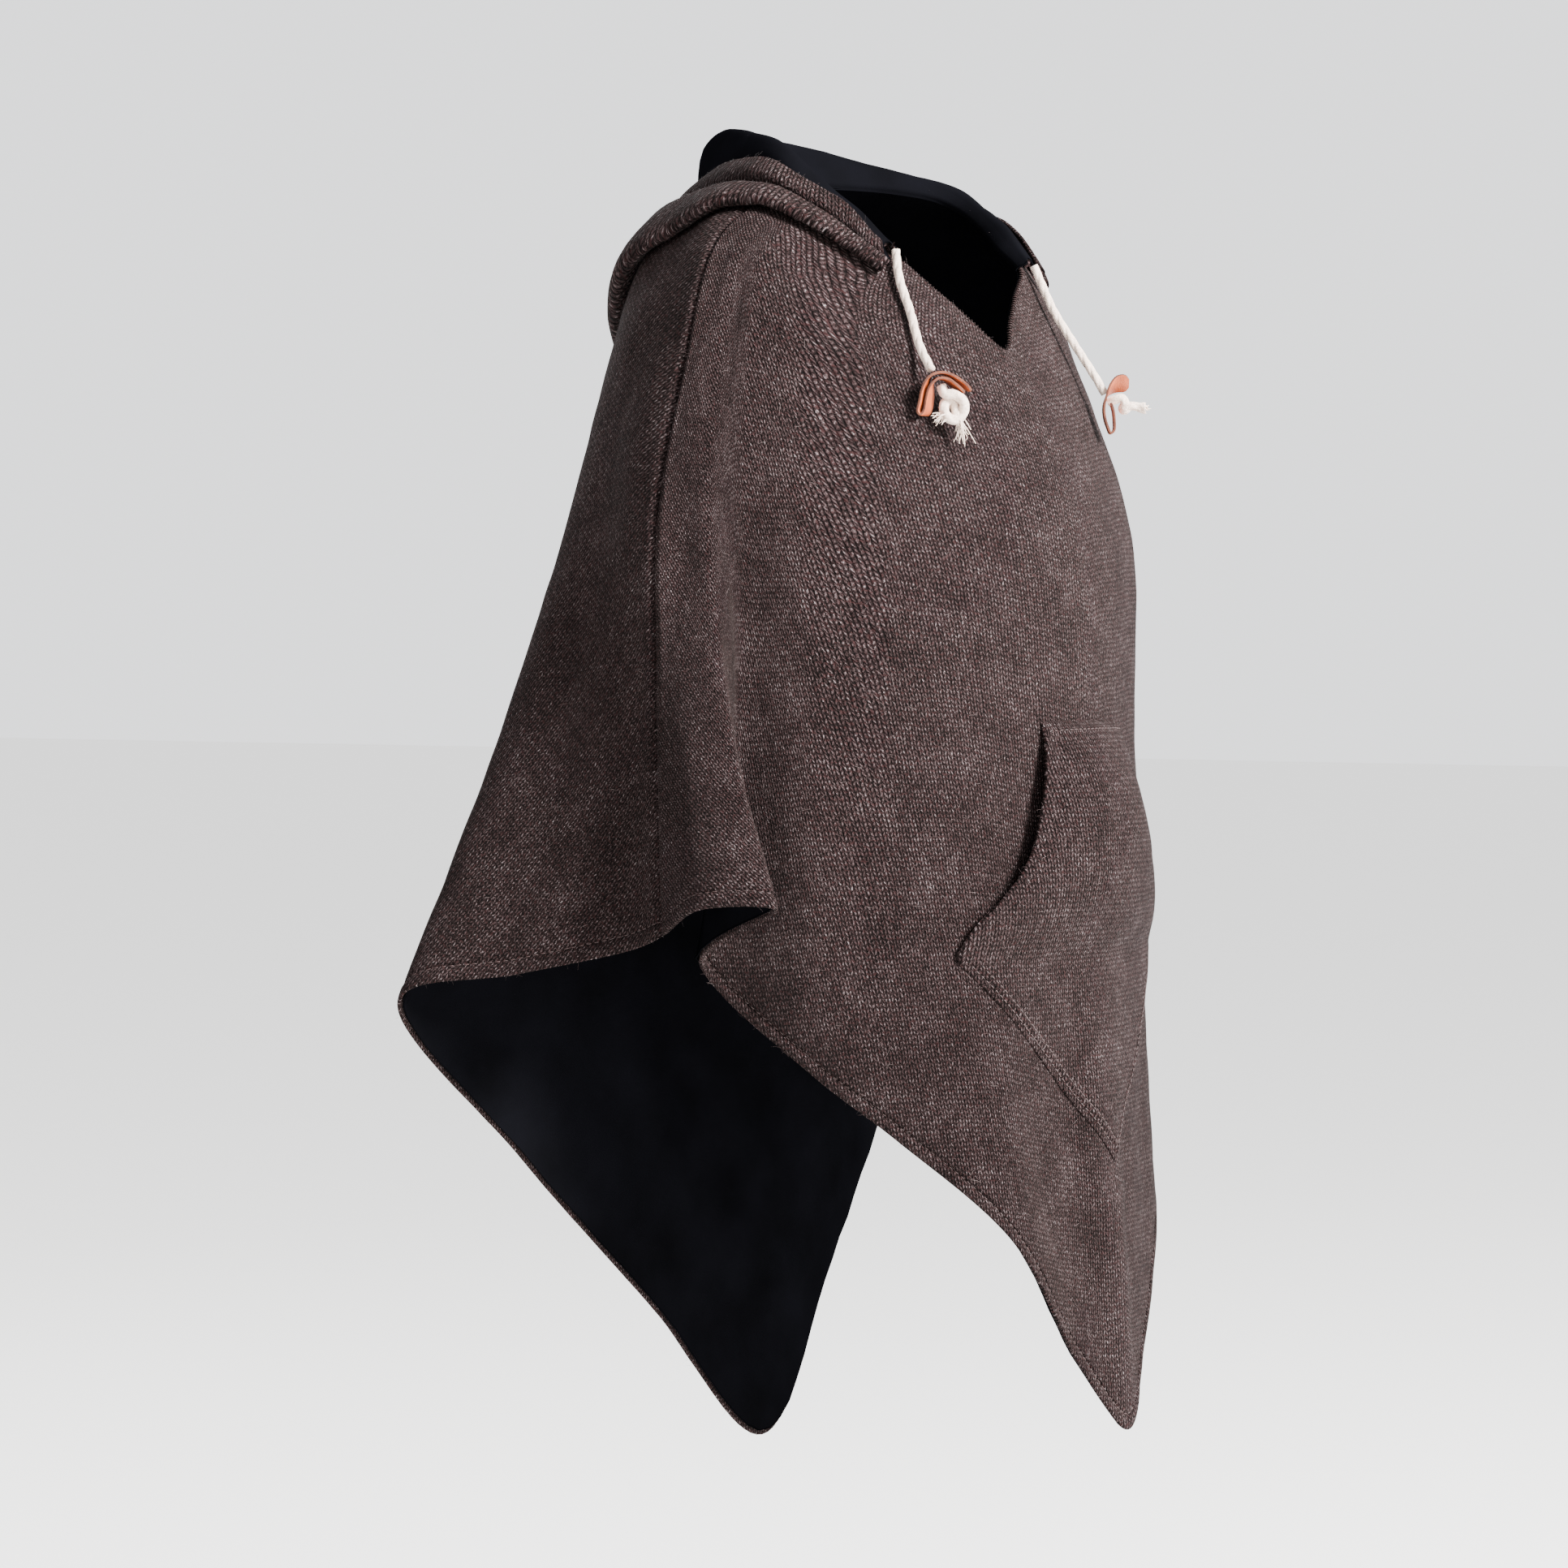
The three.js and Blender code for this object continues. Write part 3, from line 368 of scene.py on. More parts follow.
def read_table(rows, column, value):
    """One column of a table, read smoothly by its first column, which runs down."""
    keys, values = (np.asarray(rows[key], float) for key in (next(iter(rows)), column))
    value = np.clip(np.asarray(value, float), keys[-1], keys[0])
    i = np.clip(np.searchsorted(-keys, -value, side="right") - 1, 0, len(keys) - 2)
    t = (keys[i] - value) / (keys[i] - keys[i + 1])
    a, b, c, d = (values[np.clip(i + k, 0, len(keys) - 1)] for k in (-1, 0, 1, 2))
    return 0.5 * (2 * b + (c - a) * t + (2 * a - 5 * b + 4 * c - d) * t ** 2
                  + (3 * b - a - 3 * c + d) * t ** 3)


def on_figure(angle, z):
    s, c = math.sin(math.radians(angle)), math.cos(math.radians(angle))
    ahead = c > 0
    squareness = FRONT_SQUARENESS if ahead else BACK_SQUARENESS
    side = float(read_table(FIGURE, "side", z))
    depth = float(read_table(FIGURE, "front" if ahead else "back", z))
    return np.array([-side * abs(s) ** squareness, -math.copysign(depth * abs(c) ** squareness, c), z])


MIRROR = np.array([-1.0, 1.0, 1.0])
BACK_NECK = [V_TOP * MIRROR, SHOULDER_POINT * MIRROR, NAPE, SHOULDER_POINT, V_TOP]


def neck_point(k):
    if k <= 1:
        return V_BOTTOM + (V_TOP - V_BOTTOM) * k
    return spline(BACK_NECK, 1 - (k - 1) / 4)[0]


def rib_points(rib, folds):
    neck, angle, leaves, x, y, z, fold_x, fold_y, _ = rib
    top = neck_point(neck)
    on = [on_figure(angle, top[2] + (leaves - top[2]) * share) for share in ON_FIGURE]
    fold = np.array([fold_x, fold_y, 0]) * folds
    hanging = [on[2] + (np.array([x, y, z]) - on[2]) * share + fold * share ** FOLD_GROWTH
               for share in HANGING]
    return [top, *on, *hanging]


ribs = list(RIBS.values())
ring = [(rib_points(rib, 1), 1) for rib in ribs]
ring += [(rib_points(rib, LEFT_FOLDS), -1) for rib in ribs[-2:0:-1]]
neck_round = [rib[0] for rib in ribs + ribs[-2::-1]]
column_params, column_necks = [], []
for i, count in enumerate(rib[-1] for rib in ribs[:-1] + ribs[-2::-1]):
    for k in range(count):
        column_params.append((i + k / count) / len(ring))
        column_necks.append(neck_round[i] + (neck_round[i + 1] - neck_round[i]) * k / count)
COLUMNS = len(column_params)
BACK_CENTRE = COLUMNS // 2
RIGHT_SEAM = column_necks.index(2.0)
LEFT_SEAM = COLUMNS - RIGHT_SEAM
FRONT_FLANK = column_necks.index(1.0)

# Fine columns: eight to each column of the solids, and closer beside the two side seams.
FINE_STEP, BESIDE_SEAM = 0.125, (0.012, 0.03, 0.06)
fine = np.sort([*np.arange(0, COLUMNS, FINE_STEP), *(
    seam + way * d for seam in (RIGHT_SEAM, LEFT_SEAM) for way in (-1, 1) for d in BESIDE_SEAM)])
fine_u = np.interp(fine, range(COLUMNS + 1), column_params + [1.0])
fine_neck = np.interp(fine, range(COLUMNS + 1), column_necks + [0.0])


def column_of(value):
    return int(np.argmin(abs(fine - value)))


def unit(v):
    return v / np.maximum(np.linalg.norm(v, axis=-1, keepdims=True), 1e-9)


def normals_of(grid, closed=False):
    across = np.roll(grid, -1, 1) - np.roll(grid, 1, 1) if closed else np.gradient(grid, axis=1)
    return unit(np.cross(across, np.gradient(grid, axis=0)))


BODY_LINES = 241


def body_grid():
    shares = (np.linspace(0, BODY_ROWS, BODY_LINES) / BODY_ROWS) ** ROW_POWER
    lines = [spline_by_length(points, shares) * (1 if side > 0 else MIRROR) for points, side in ring]
    return np.array([spline([line[r] for line in lines], fine_u, True) for r in range(len(shares))])


# Rows of the cloth: from the neckline down, from the hem up, and how many between.
TOP_ROWS = np.array([0, 0.25, 0.6, NECK_TURN, 1.6, 2.6, 4, 6.5, 10])
HEM_STITCH_ROW = 11
HEM_ROWS = np.array([26, 22, 18.5, 16, 14, 12.6, 11.8, HEM_STITCH_ROW, 10.2, 9.4, 8, 6, 4.5, HEM_TURN, 2,
                     1.2, 0.6, 0.25, 0])
MIDDLE_ROWS = 110


def resampled(grid):
    """Rows at set distances from the neckline and from the hem, even in between."""
    columns = []
    for line in grid.transpose(1, 0, 2):
        run = run_length(line)
        middle = np.linspace(TOP_ROWS[-1], run[-1] - HEM_ROWS[0], MIDDLE_ROWS)[1:-1]
        at = np.concatenate([TOP_ROWS, middle, run[-1] - HEM_ROWS])
        columns.append(np.column_stack([read_along(run, line, at), at]))
    rows = np.array(columns).transpose(1, 0, 2)
    return rows[..., :3], rows[..., 3]


body, body_run = resampled(body_grid())


# The neckline in the flat cut: places on it, then their p and q.
NECK_CUT = {
    "front": ([0, 1, 2], [0, -84, -95], [118, 50, 0]),
    "back": ([2, 2.5, 3], [-95, -60, 0], [0, 17, 24]),
}


def flat_cut():
    """Where each point lies in the flat panel: p to the wearer's left, q down from the shoulders."""
    flat = np.zeros(body.shape[:2] + (2,))
    right, left, back = (column_of(c) for c in (RIGHT_SEAM, LEFT_SEAM, BACK_CENTRE))
    halves = (("front", 0, right, 1), ("front", left, len(fine), -1),
              ("back", right, back, 1), ("back", back, left, -1))
    for name, first, last, mirror in halves:
        places, ps, qs = NECK_CUT[name]
        columns = np.arange(first, last + 1)
        run = run_length(body[-1, columns % len(fine)])
        from_point = (name == "front") == (mirror > 0)
        share = run / run[-1] if from_point else 1 - run / run[-1]
        drop = PANEL_HEIGHT - SIDE_CORNER_DROP + (BACK_LONGER if name == "back" else 0)
        for c, s in zip(columns, share):
            if c == len(fine) or (first == back and c == back):
                continue
            p, q = (np.interp(fine_neck[c], places, values) for values in (ps, qs))
            start = np.array([p * mirror, q])
            end = np.array([-PANEL_SIDE_TO_SIDE / 2 * s * mirror, SIDE_CORNER_DROP + drop * (1 - s)])
            t = (body_run[:, c] / body_run[-1, c])[:, None]
            flat[:, c] = start + (end - start) * t
    return flat


flat = flat_cut()


def crease_depth(name, cut):
    """How far the panel's creases push its points in, from their places in the flat cut."""
    depth = np.zeros(cut.shape[:-1])
    for p0, q0, p1, q1, width, deep in CREASES[name]:
        start, along = np.array([p0, q0]), np.array([p1 - p0, q1 - q0], float)
        length = np.linalg.norm(along)
        along /= length
        t = ((cut - start) @ along) / length
        aside = (cut - start) @ np.array([-along[1], along[0]])
        bend = CREASE_BEND * width * np.sin(CREASE_WAVES * np.pi * t + p0)
        ends = np.clip(np.sin(np.pi * np.clip(t, 0, 1)), 0, 1) ** CREASE_ENDS
        depth += deep * ends * np.exp(-((aside - bend) / width) ** 2)
    return depth


on_front = (fine <= RIGHT_SEAM) | (fine >= LEFT_SEAM)
crease = np.where(on_front, crease_depth("front", flat), crease_depth("back", flat))
seam_distance = np.minimum(abs(fine - RIGHT_SEAM), abs(fine - LEFT_SEAM))
crease *= np.clip(seam_distance / STILL_SEAM, 0, 1) * np.clip(body_run / STILL_NECK, 0, 1)
body_normals = normals_of(body, True)
body = body - body_normals * crease[..., None]
body_normals = normals_of(body, True)


# ---- Cloth shells ----
def add_mesh(name, vertices, faces, material, uvs=None, uv_name="cut"):
    mesh = bpy.data.meshes.new(name)
    faces = np.asarray(faces)
    mesh.from_pydata((vertices * MM).tolist(), [], faces.tolist(), shade_flat=False)
    if uvs is not None:
        layer = mesh.uv_layers.new(name=uv_name)
        layer.data.foreach_set("uv", np.ascontiguousarray(uvs[faces.ravel()], np.float32).ravel())
    mesh.materials.append(material)
    piece = bpy.data.objects.new(name, mesh)
    bpy.context.scene.collection.objects.link(piece)
    return piece


def grid_faces(rows, cols, offset=0, flip=False):
    r, c = np.meshgrid(np.arange(rows - 1), np.arange(cols - 1), indexing="ij")
    a = offset + r * cols + c
    quads = np.stack([a, a + cols, a + cols + 1, a + 1], axis=-1).reshape(-1, 4)
    return quads if flip else quads[:, ::-1]


def cloth_shell(name, points, normals, outer, inner, cut, material):
    """A closed sheet: its outer face `outer` out from the points and its inner face `inner` out."""
    rows, cols = points.shape[:2]
    outer, inner = (np.broadcast_to(x, (rows, cols)) for x in (outer, inner))
    faces_at = [points + normals * side[..., None] for side in (outer, inner)]
    vertices = np.concatenate([f.reshape(-1, 3) for f in faces_at])
    total = rows * cols
    index = np.arange(total).reshape(rows, cols)
    rim = np.concatenate([index[0, :-1], index[:-1, -1], index[-1, :0:-1], index[:0:-1, 0]])
    after = np.roll(rim, -1)
    band = np.stack([rim, after, after + total, rim + total], axis=1)
    faces = np.concatenate([grid_faces(rows, cols), grid_faces(rows, cols, total, True), band])
    uvs = np.concatenate([cut.reshape(-1, 2) * MM] * 2)
    return add_mesh(name, vertices, faces, material, uvs)


def edge_round(distance, radius=WOOL / 2):
    """How much of the half thickness is there at a distance from a folded edge."""
    inside = np.clip(distance / radius, 0, 1)
    return np.sqrt(1 - (1 - inside) ** 2)


def between(first, last):
    """The fine columns from one place to another, going on past the end."""
    start, stop = column_of(first % COLUMNS), column_of(last % COLUMNS)
    if stop <= start:
        stop += len(fine)
    return np.arange(start, stop + 1) % len(fine)


SEAM_LEAVES, SEAM_ROUND = 0.35, 2.5
HEM_DENTS = ((1.3, HEM_STITCH_ROW, 1.3), (-0.55, 5.5, 3.2))
SEAM_DENTS = ((2.0, 0, 2.6), (-0.6, 6, 3))
HEM_EASE, LINING_EASE = 4, 0.8


def uneven(cut, size, depth):
    """A gentle waviness of the surface, from a few crossing waves."""
    p, q = cut[..., 0] / size, cut[..., 1] / size
    return depth * (np.sin(p * 2.1 + 1.3 * np.sin(q * 1.7)) * np.sin(q * 1.9 + 0.8 * np.sin(p * 2.3)))


def dents(distance, rows):
    """Soft grooves along an edge: each row has a depth (a ridge is minus), a distance and a width."""
    return sum(deep * np.exp(-((distance - at) / width) ** 2) for deep, at, width in rows)


def pinched(distance):
    """What a seam leaves of the cloth's thickness beside it."""
    return SEAM_LEAVES + (1 - SEAM_LEAVES) * edge_round(distance, SEAM_ROUND)


def every_other(items):
    return np.unique(np.append(items[::2], items[-1]))


PANELS = {"front": (LEFT_SEAM, RIGHT_SEAM), "back": (RIGHT_SEAM, LEFT_SEAM)}
neck_distance, hem_distance = body_run, body_run[-1] - body_run
spacing = np.linalg.norm(np.roll(body, -1, 1) - body, axis=-1).mean(axis=0)
made, skins = {}, {}

for name, (first, last) in PANELS.items():
    columns = between(first, last)
    points, normals, cut = body[:, columns], body_normals[:, columns], flat[:, columns].copy()
    for edge, inward, further in ((0, 1, 2), (-1, -2, -3)):
        cut[:, edge] = 2 * cut[:, inward] - cut[:, further]
    run = np.concatenate([[0], np.cumsum(spacing[columns][:-1])])
    from_seam = np.minimum(run, run[-1] - run)[None, :]
    half = WOOL / 2 * edge_round(np.minimum(neck_distance, hem_distance)[:, columns])
    half = half * pinched(from_seam)
    hem = hem_distance[:, columns]
    sunk = dents(hem, HEM_DENTS) + dents(from_seam, SEAM_DENTS)
    outer = -WOOL / 2 + half - sunk * edge_round(hem, HEM_EASE) + uneven(cut, 24, 0.35)
    made[name] = cloth_shell(f"{name}_wool", points, normals, outer, -WOOL / 2 - half, cut, WOOL_KNIT)
    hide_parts(f"{name}_panel")
    skins[name] = (points, normals, outer, cut)

    inside = (neck_distance >= NECK_TURN - 0.01).all(1) & (hem_distance >= HEM_TURN - 0.01).all(1)
    pick = np.ix_(every_other(np.flatnonzero(inside)), every_other(np.arange(len(columns))))
    face = uneven(cut[pick], 31, LINING_EASE) - LINING_EASE - WOOL - GAP
    made[name, "lining"] = cloth_shell(f"{name}_cotton", points[pick], normals[pick], face,
                                       face - LINING, cut[pick], NAVY_LINING_PAINTED_SHADE)
    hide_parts(f"{name}_lining")


# ---- Hood ----
def on_body(c, along, off):
    """A point read by the distance down one column of the body, and off it."""
    point, normal = (read_along(body_run[:, c], grid[:, c], along) for grid in (body, body_normals))
    return point + unit(normal) * off


OUTWARD_BY = 30  # the direction out of the neck is taken this far down
RIM_EASE = 2  # columns over which the left rim moves out


def hood_points(c):
    read = {key: float(read_table(HOOD, key, fine_neck[c])) for key in HOOD}
    is_left = fine[c] > BACK_CENTRE
    on = partial(on_body, c)
    crest_z = read["leftCrest" if is_left else "crest"]
    rim_z = read["leftRim" if is_left else "rim"]
    top = on(0, 0)
    outward = on(OUTWARD_BY, 0) - top
    outward[2] = 0
    outward = unit(outward)

    def standing(out, z, clear):
        p = top + outward * out
        p[2] = max(z, on(max(out, 0), HOOD_UNDER_OFF + clear)[2])
        return p

    low, heel, crease_at = read["low"], read["heelAlong"], read["creaseAlong"]
    fold = read["fold"] * (LEFT_BAG if is_left else 1)
    over = HOOD_UNDER_OFF + fold
    crease_point = on(crease_at, min(read["creaseOff"], over))
    crest = standing(read["crestOut"], crest_z, CREST_CLEAR)
    rise = crest - top
    leg = (on(0, 1) - top) * LEG_OUT + unit(rise) * (1 - LEG_OUT)
    share = np.clip((fine[c] - BACK_CENTRE) / RIM_EASE, 0, 1)
    eased = share * share * (3 - 2 * share)
    rim = standing(read["rimOut"] + LEFT_RIM_OUT * eased, rim_z, RIM_CLEAR)
    leg_z = top[2] + (crest_z - top[2]) * LEG_RISE
    return [
        on(0, HOOD_SEAM_OFF), top + unit(leg) * np.linalg.norm(rise) * LEG_RISE, crest,
        standing(read["crestOut"] + read["roll"], leg_z, 0), on(heel, HOOD_UNDER_OFF),
        *[on(heel + (low - fold - heel) * t, HOOD_UNDER_OFF) for t in UNDER_SHARES],
        on(low - fold * FOLD_UNDER, HOOD_UNDER_OFF), on(low, HOOD_UNDER_OFF + fold * FOLD_TIP),
        on(low - fold * FOLD_OVER, over - FOLD_DIP), on(low + (crease_at - low) * LEG_RISE, over),
        crease_point, (crease_point + rim) / 2 + outward * BAND_OUT, rim,
    ]


# Steps along the hood's section: the stretches between its 14 points, closer at the rim.
SECTION_STEPS = np.concatenate([np.arange(0, 12, 1 / 6), np.linspace(12, 12.9, 7),
                                [12.94, 12.97, 12.99, 13]])
CREASE_ROW = int(np.argmin(abs(SECTION_STEPS - 11)))
BAG_ROW = 40  # the row whose length gives distances from the centre seam
hood_columns = between(FRONT_FLANK, COLUMNS - FRONT_FLANK)
hood = np.array([spline(hood_points(c), SECTION_STEPS / 13) for c in hood_columns]).transpose(1, 0, 2)
hood_normals = normals_of(hood)
hood_run = np.array([run_length(hood[:, c]) for c in range(hood.shape[1])]).T
LINED = np.flatnonzero((SECTION_STEPS > 0.3) & (SECTION_STEPS <= 5))
# The cotton turns over the neck's edge: along the body, inward and up.
TURN_UNDER = ((3.0, 4.2, 0.0), (0.2, 4.0, 0.2), (0.0, 2.6, 0.9))
HOOD_SEAM_DENTS, CASING_DENTS = ((1.4, 0, 3.0),), ((2.6, 0, 3.0),)
CUT_NARROWS = 0.75  # the flat cut's width to the rim's length
FRONT_EDGE_LEAVES = 0.4
turned = np.array([[on_body(c, along, -inward) + [0, 0, lift] for c in hood_columns]
                   for along, inward, lift in TURN_UNDER])
hood_lining = np.concatenate([turned, hood[LINED]])
lining_normals = normals_of(hood_lining)
middle = int(np.flatnonzero(hood_columns == column_of(BACK_CENTRE))[0])
hood_across, bag_run = run_length(hood[-1]), run_length(hood[BAG_ROW])
hood_across -= hood_across[middle]
for name, cols in (("right", slice(0, middle + 1)), ("left", slice(middle, None))):
    points, normals, run, side = hood[:, cols], hood_normals[:, cols], hood_run[:, cols], bag_run[cols]
    cut = np.stack([np.broadcast_to(hood_across[cols] * CUT_NARROWS, run.shape), run], axis=-1)
    from_middle = abs(side - bag_run[middle])[None, :]
    from_front = abs(side - side[0 if name == "right" else -1])[None, :]
    half = WOOL / 2 * edge_round(np.minimum(run[-1] - run, run))
    half = half * edge_round(from_front + FRONT_EDGE_LEAVES) * pinched(from_middle)
    sunk = dents(run - run[CREASE_ROW], CASING_DENTS) + dents(from_middle, HOOD_SEAM_DENTS)
    outer = WOOL / 2 + half - sunk - uneven(cut, 22, 0.4)
    hood_name = f"hood_{name}"
    skins[hood_name] = (points, -normals, outer, cut)
    made[hood_name] = cloth_shell(f"{hood_name}_wool", points, -normals, outer, WOOL / 2 - half,
                                  cut, WOOL_KNIT)
    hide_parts(hood_name)
    lining_cut = np.concatenate([cut[:len(TURN_UNDER)], cut[LINED]])
    made[hood_name, "lining"] = cloth_shell(
        f"{hood_name}_cotton", hood_lining[:, cols], lining_normals[:, cols],
        GAP + LINING + uneven(lining_cut, 26, 0.3), GAP, lining_cut, NAVY_LINING_PAINTED_SHADE)
    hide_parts(f"hood_lining_{name}")


# ---- Pocket ----
front_quads = grid_faces(*skins["front"][0].shape[:2])
front_points, front_normals = (grid.reshape(-1, 3) for grid in skins["front"][:2])
front_tree = BVHTree.FromPolygons(front_points.tolist(), front_quads.tolist())
AHEAD_OF_FRONT = -400
# Distances from the pocket's edges at which its grid has lines, and how many lines lie between.
EDGE_LINES = np.array([0, 0.25, 0.7, 1.4, 3, 5.5, 8, 9.5, 11, 13])
LINES_DOWN, LINES_ACROSS, FULL_EDGES = 64, 44, 40
SEAT_EASE, PRESSED_WIDTH, PRESSED_LEAVES = 12, 6, 0.2
OPENING_SLANT, SEWN_SLANT = 0.85, 0.7  # a slanting edge is nearer than its distance across
SEWN_DENTS = ((0.5, 9.5, 1.2), (0.5, 3.8, 1.0), (-0.5, 6.6, 1.6))
OPENING_DENTS = ((0.4, 9, 1.2),)


def on_front_at(x, z):
    """The front's surface at x, z, and its smooth normal there."""
    hit, _, face, _ = front_tree.ray_cast(Vector((x, AHEAD_OF_FRONT, z)), Vector((0, 1, 0)))
    corners = front_quads[face]
    weights = 1 / (np.linalg.norm(front_points[corners] - np.array(hit), axis=1) + 0.5) ** 2
    return np.array(hit), unit((front_normals[corners] * weights[:, None]).sum(0))


def pocket_half(z):
    if z >= POCKET_CORNER:
        return float(read_table(POCKET_EDGE, "half", z))
    t = (POCKET_CORNER - z) / (POCKET_CORNER - POCKET_TIP)
    return POCKET_EDGE["half"][-1] * (1 - t) + POCKET_TIP_HALF * t


def pocket_off(s, z):
    """How far the pocket stands off the front, with s from -1 to 1 across it."""
    opening = min(1, (POCKET_TOP - z) / (POCKET_TOP - POCKET_CORNER))
    open_here = max(math.sin(math.pi * opening), 0) ** 0.8
    seat = POCKET_SEAT * (0.4 + 0.6 * min(1, (POCKET_TOP - z) / SEAT_EASE))
    return seat + open_here * (POCKET_BULGE + (POCKET_LIFT - POCKET_BULGE) * s * s)


def edged(first, last, near, count):
    """Lines from one edge to the other, set close beside both."""
    way = math.copysign(1, last - first)
    between_them = np.linspace(first + way * near[-1], last - way * near[-1], count)[1:-1]
    return np.concatenate([first + way * near, between_them, last - way * near[::-1]])


pocket_z = edged(POCKET_TOP, POCKET_TIP, EDGE_LINES, LINES_DOWN)
pocket, from_side = [], []
for z in pocket_z:
    half = pocket_half(z)
    xs = edged(half, -half, EDGE_LINES * min(1, half / FULL_EDGES), LINES_ACROSS)
    places, outs = (np.array(values) for values in zip(*(on_front_at(x, z) for x in xs)))
    pocket.append(places + outs * np.array([[pocket_off(x / half, z)] for x in xs]))
    from_side.append(half - abs(xs))
pocket, from_side = np.array(pocket), np.array(from_side)
for _ in range(2):  # takes the facets of the front out of the pocket's surface
    pocket[1:-1, 1:-1] = (pocket[:-2, 1:-1] + 2 * pocket[1:-1, 1:-1] + pocket[2:, 1:-1]) / 4
pocket_normals = normals_of(pocket)
below = (pocket_z < POCKET_CORNER)[:, None]
from_top = (POCKET_TOP - pocket_z)[:, None]
from_opening = np.where(below, FAR, from_side * OPENING_SLANT)
from_sewn = np.minimum(np.where(below, from_side * SEWN_SLANT, FAR), from_top)
pocket_cut = np.stack([pocket[..., 0], np.broadcast_to(-pocket_z[:, None] - 3, from_side.shape)], axis=-1)
# Sewing presses the edges flat.
pressed = PRESSED_LEAVES + (1 - PRESSED_LEAVES) * np.clip(from_sewn / PRESSED_WIDTH, 0, 1) ** 1.5
half = WOOL / 2 * edge_round(from_opening) * edge_round(from_sewn, 0.9) * pressed
dented = dents(from_sewn, SEWN_DENTS) + dents(from_opening, OPENING_DENTS)
pocket_outer = 2 * half - dented + uneven(pocket_cut, 21, 0.4)
made["pocket"] = cloth_shell("pocket_wool", pocket, pocket_normals, pocket_outer, 0, pocket_cut, WOOL_KNIT)
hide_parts("pocket")
skins["pocket"] = (pocket, pocket_normals, pocket_outer, pocket_cut)


# ---- Nap: loose fibres brushed up from the knit ----
FIBRE_WIDTH = 0.14  # several hairs clinging together, as wide as they need to be to show
FIBRE_LENGTH, FIBRE_LIFT, FIBRE_CURL = (2.5, 6.5), 1.1, 0.5


def nap(name, skin, count):
    """Short bent fibres over a surface, each a narrow ribbon of three stretches."""
    points, normals, outer, _ = skin
    surface = points + normals * outer[..., None]
    across = np.linalg.norm(surface[1:, 1:] - surface[1:, :-1], axis=-1)
    down = np.linalg.norm(surface[1:, 1:] - surface[:-1, 1:], axis=-1)
    area = (across * down).ravel()
    cell = random.choice(area.size, count, p=area / area.sum())
    r, c = np.divmod(cell, across.shape[1])
    a, b = random.random((2, count, 1))
    root, normal = ((g[r, c] * (1 - a) + g[r, c + 1] * a) * (1 - b)
                    + (g[r + 1, c] * (1 - a) + g[r + 1, c + 1] * a) * b for g in (surface, normals))
    normal = unit(normal)
    tangent = unit(np.cross(normal, random.normal(size=(count, 3))))
    side = np.cross(normal, tangent)
    length = random.uniform(*FIBRE_LENGTH, (count, 1))
    curl = random.normal(0, FIBRE_CURL, (count, 1))
    high = FIBRE_LIFT * random.uniform(0.15, 1, (count, 1)) ** 2
    ribbon = []
    for t in (0, 0.33, 0.67, 1):
        centre = root + tangent * length * t + side * curl * length * t * t * 0.5
        centre = centre + normal * (high * math.sin(math.pi * min(t * 0.8 + 0.05, 1)) + 0.1)
        wide = FIBRE_WIDTH / 2 * (1 - 0.6 * abs(2 * t - 1))
        ribbon += [centre - side * wide, centre + side * wide]
    vertices = np.stack(ribbon, axis=1).reshape(-1, 3)
    quads = np.array([[0, 1, 3, 2], [2, 3, 5, 4], [4, 5, 7, 6]])
    faces = (np.arange(count)[:, None, None] * 8 + quads).reshape(-1, 4)
    spots = np.repeat(random.random((count, 2)), 8, axis=0)
    return add_mesh(name, vertices, faces, NAP, spots, "fibre")


NAP_COUNTS = {"front": 16000, "back": 16000, "hood_right": 4000, "hood_left": 4000, "pocket": 2400}
for name, count in NAP_COUNTS.items():
    made[name, "nap"] = nap(f"{name}_nap", skins[name], count)


# ---- Sewing ----
STITCH_SIDES = 5
STITCH_ENDS = ((-0.5, 0.35, 0.45), (-0.3, 1, 0), (0.3, 1, 0), (0.5, 0.35, 0.45))  # place, width, sink
STITCH_UP = 0.2


def tube_quads(rings, sides):
    """The faces between rings of points, ring after ring."""
    return [[s * sides + k, s * sides + (k + 1) % sides, (s + 1) * sides + (k + 1) % sides,
             (s + 1) * sides + k] for s in range(rings - 1) for k in range(sides)]


def stitches(name, line, normal, long, gap, thick=0.75, lean=0):
    """A row of thread stitches along a line on the cloth: each one a short rounded bead."""
    run = run_length(line)
    count = int(run[-1] / (long + gap))
    at = (np.arange(count) + 0.5) * run[-1] / count
    middles, up = read_along(run, line, at), unit(read_along(run, normal, at))
    along = unit(read_along(run, line, at + 0.5) - read_along(run, line, at - 0.5))
    along = unit(along + np.cross(up, along) * lean)
    aside = np.cross(up, along)
    parts = []
    for t, wide, sink in STITCH_ENDS:
        for k in range(STITCH_SIDES):
            angle = 2 * math.pi * k / STITCH_SIDES
            parts.append(middles + along * t * long + up * (STITCH_UP - sink * thick)
                         + (aside * math.cos(angle) + up * math.sin(angle)) * thick / 2 * wide)
    vertices = np.stack(parts, axis=1).reshape(-1, 3)
    quads = np.array(tube_quads(len(STITCH_ENDS), STITCH_SIDES))
    faces = (np.arange(count)[:, None, None] * len(parts) + quads).reshape(-1, 4)
    return add_mesh(name, vertices, faces, THREAD)


def surface_line(skin, row):
    points, normals, outer, _ = skin
    return (points + normals * outer[..., None])[row], normals[row]


hem_row = len(body) - len(HEM_ROWS) + list(HEM_ROWS).index(HEM_STITCH_ROW)
for name in PANELS:
    line, up = surface_line(skins[name], hem_row)
    made[name, "hem"] = stitches(f"{name}_hem_stitches", line, up, 3.6, 1.6)

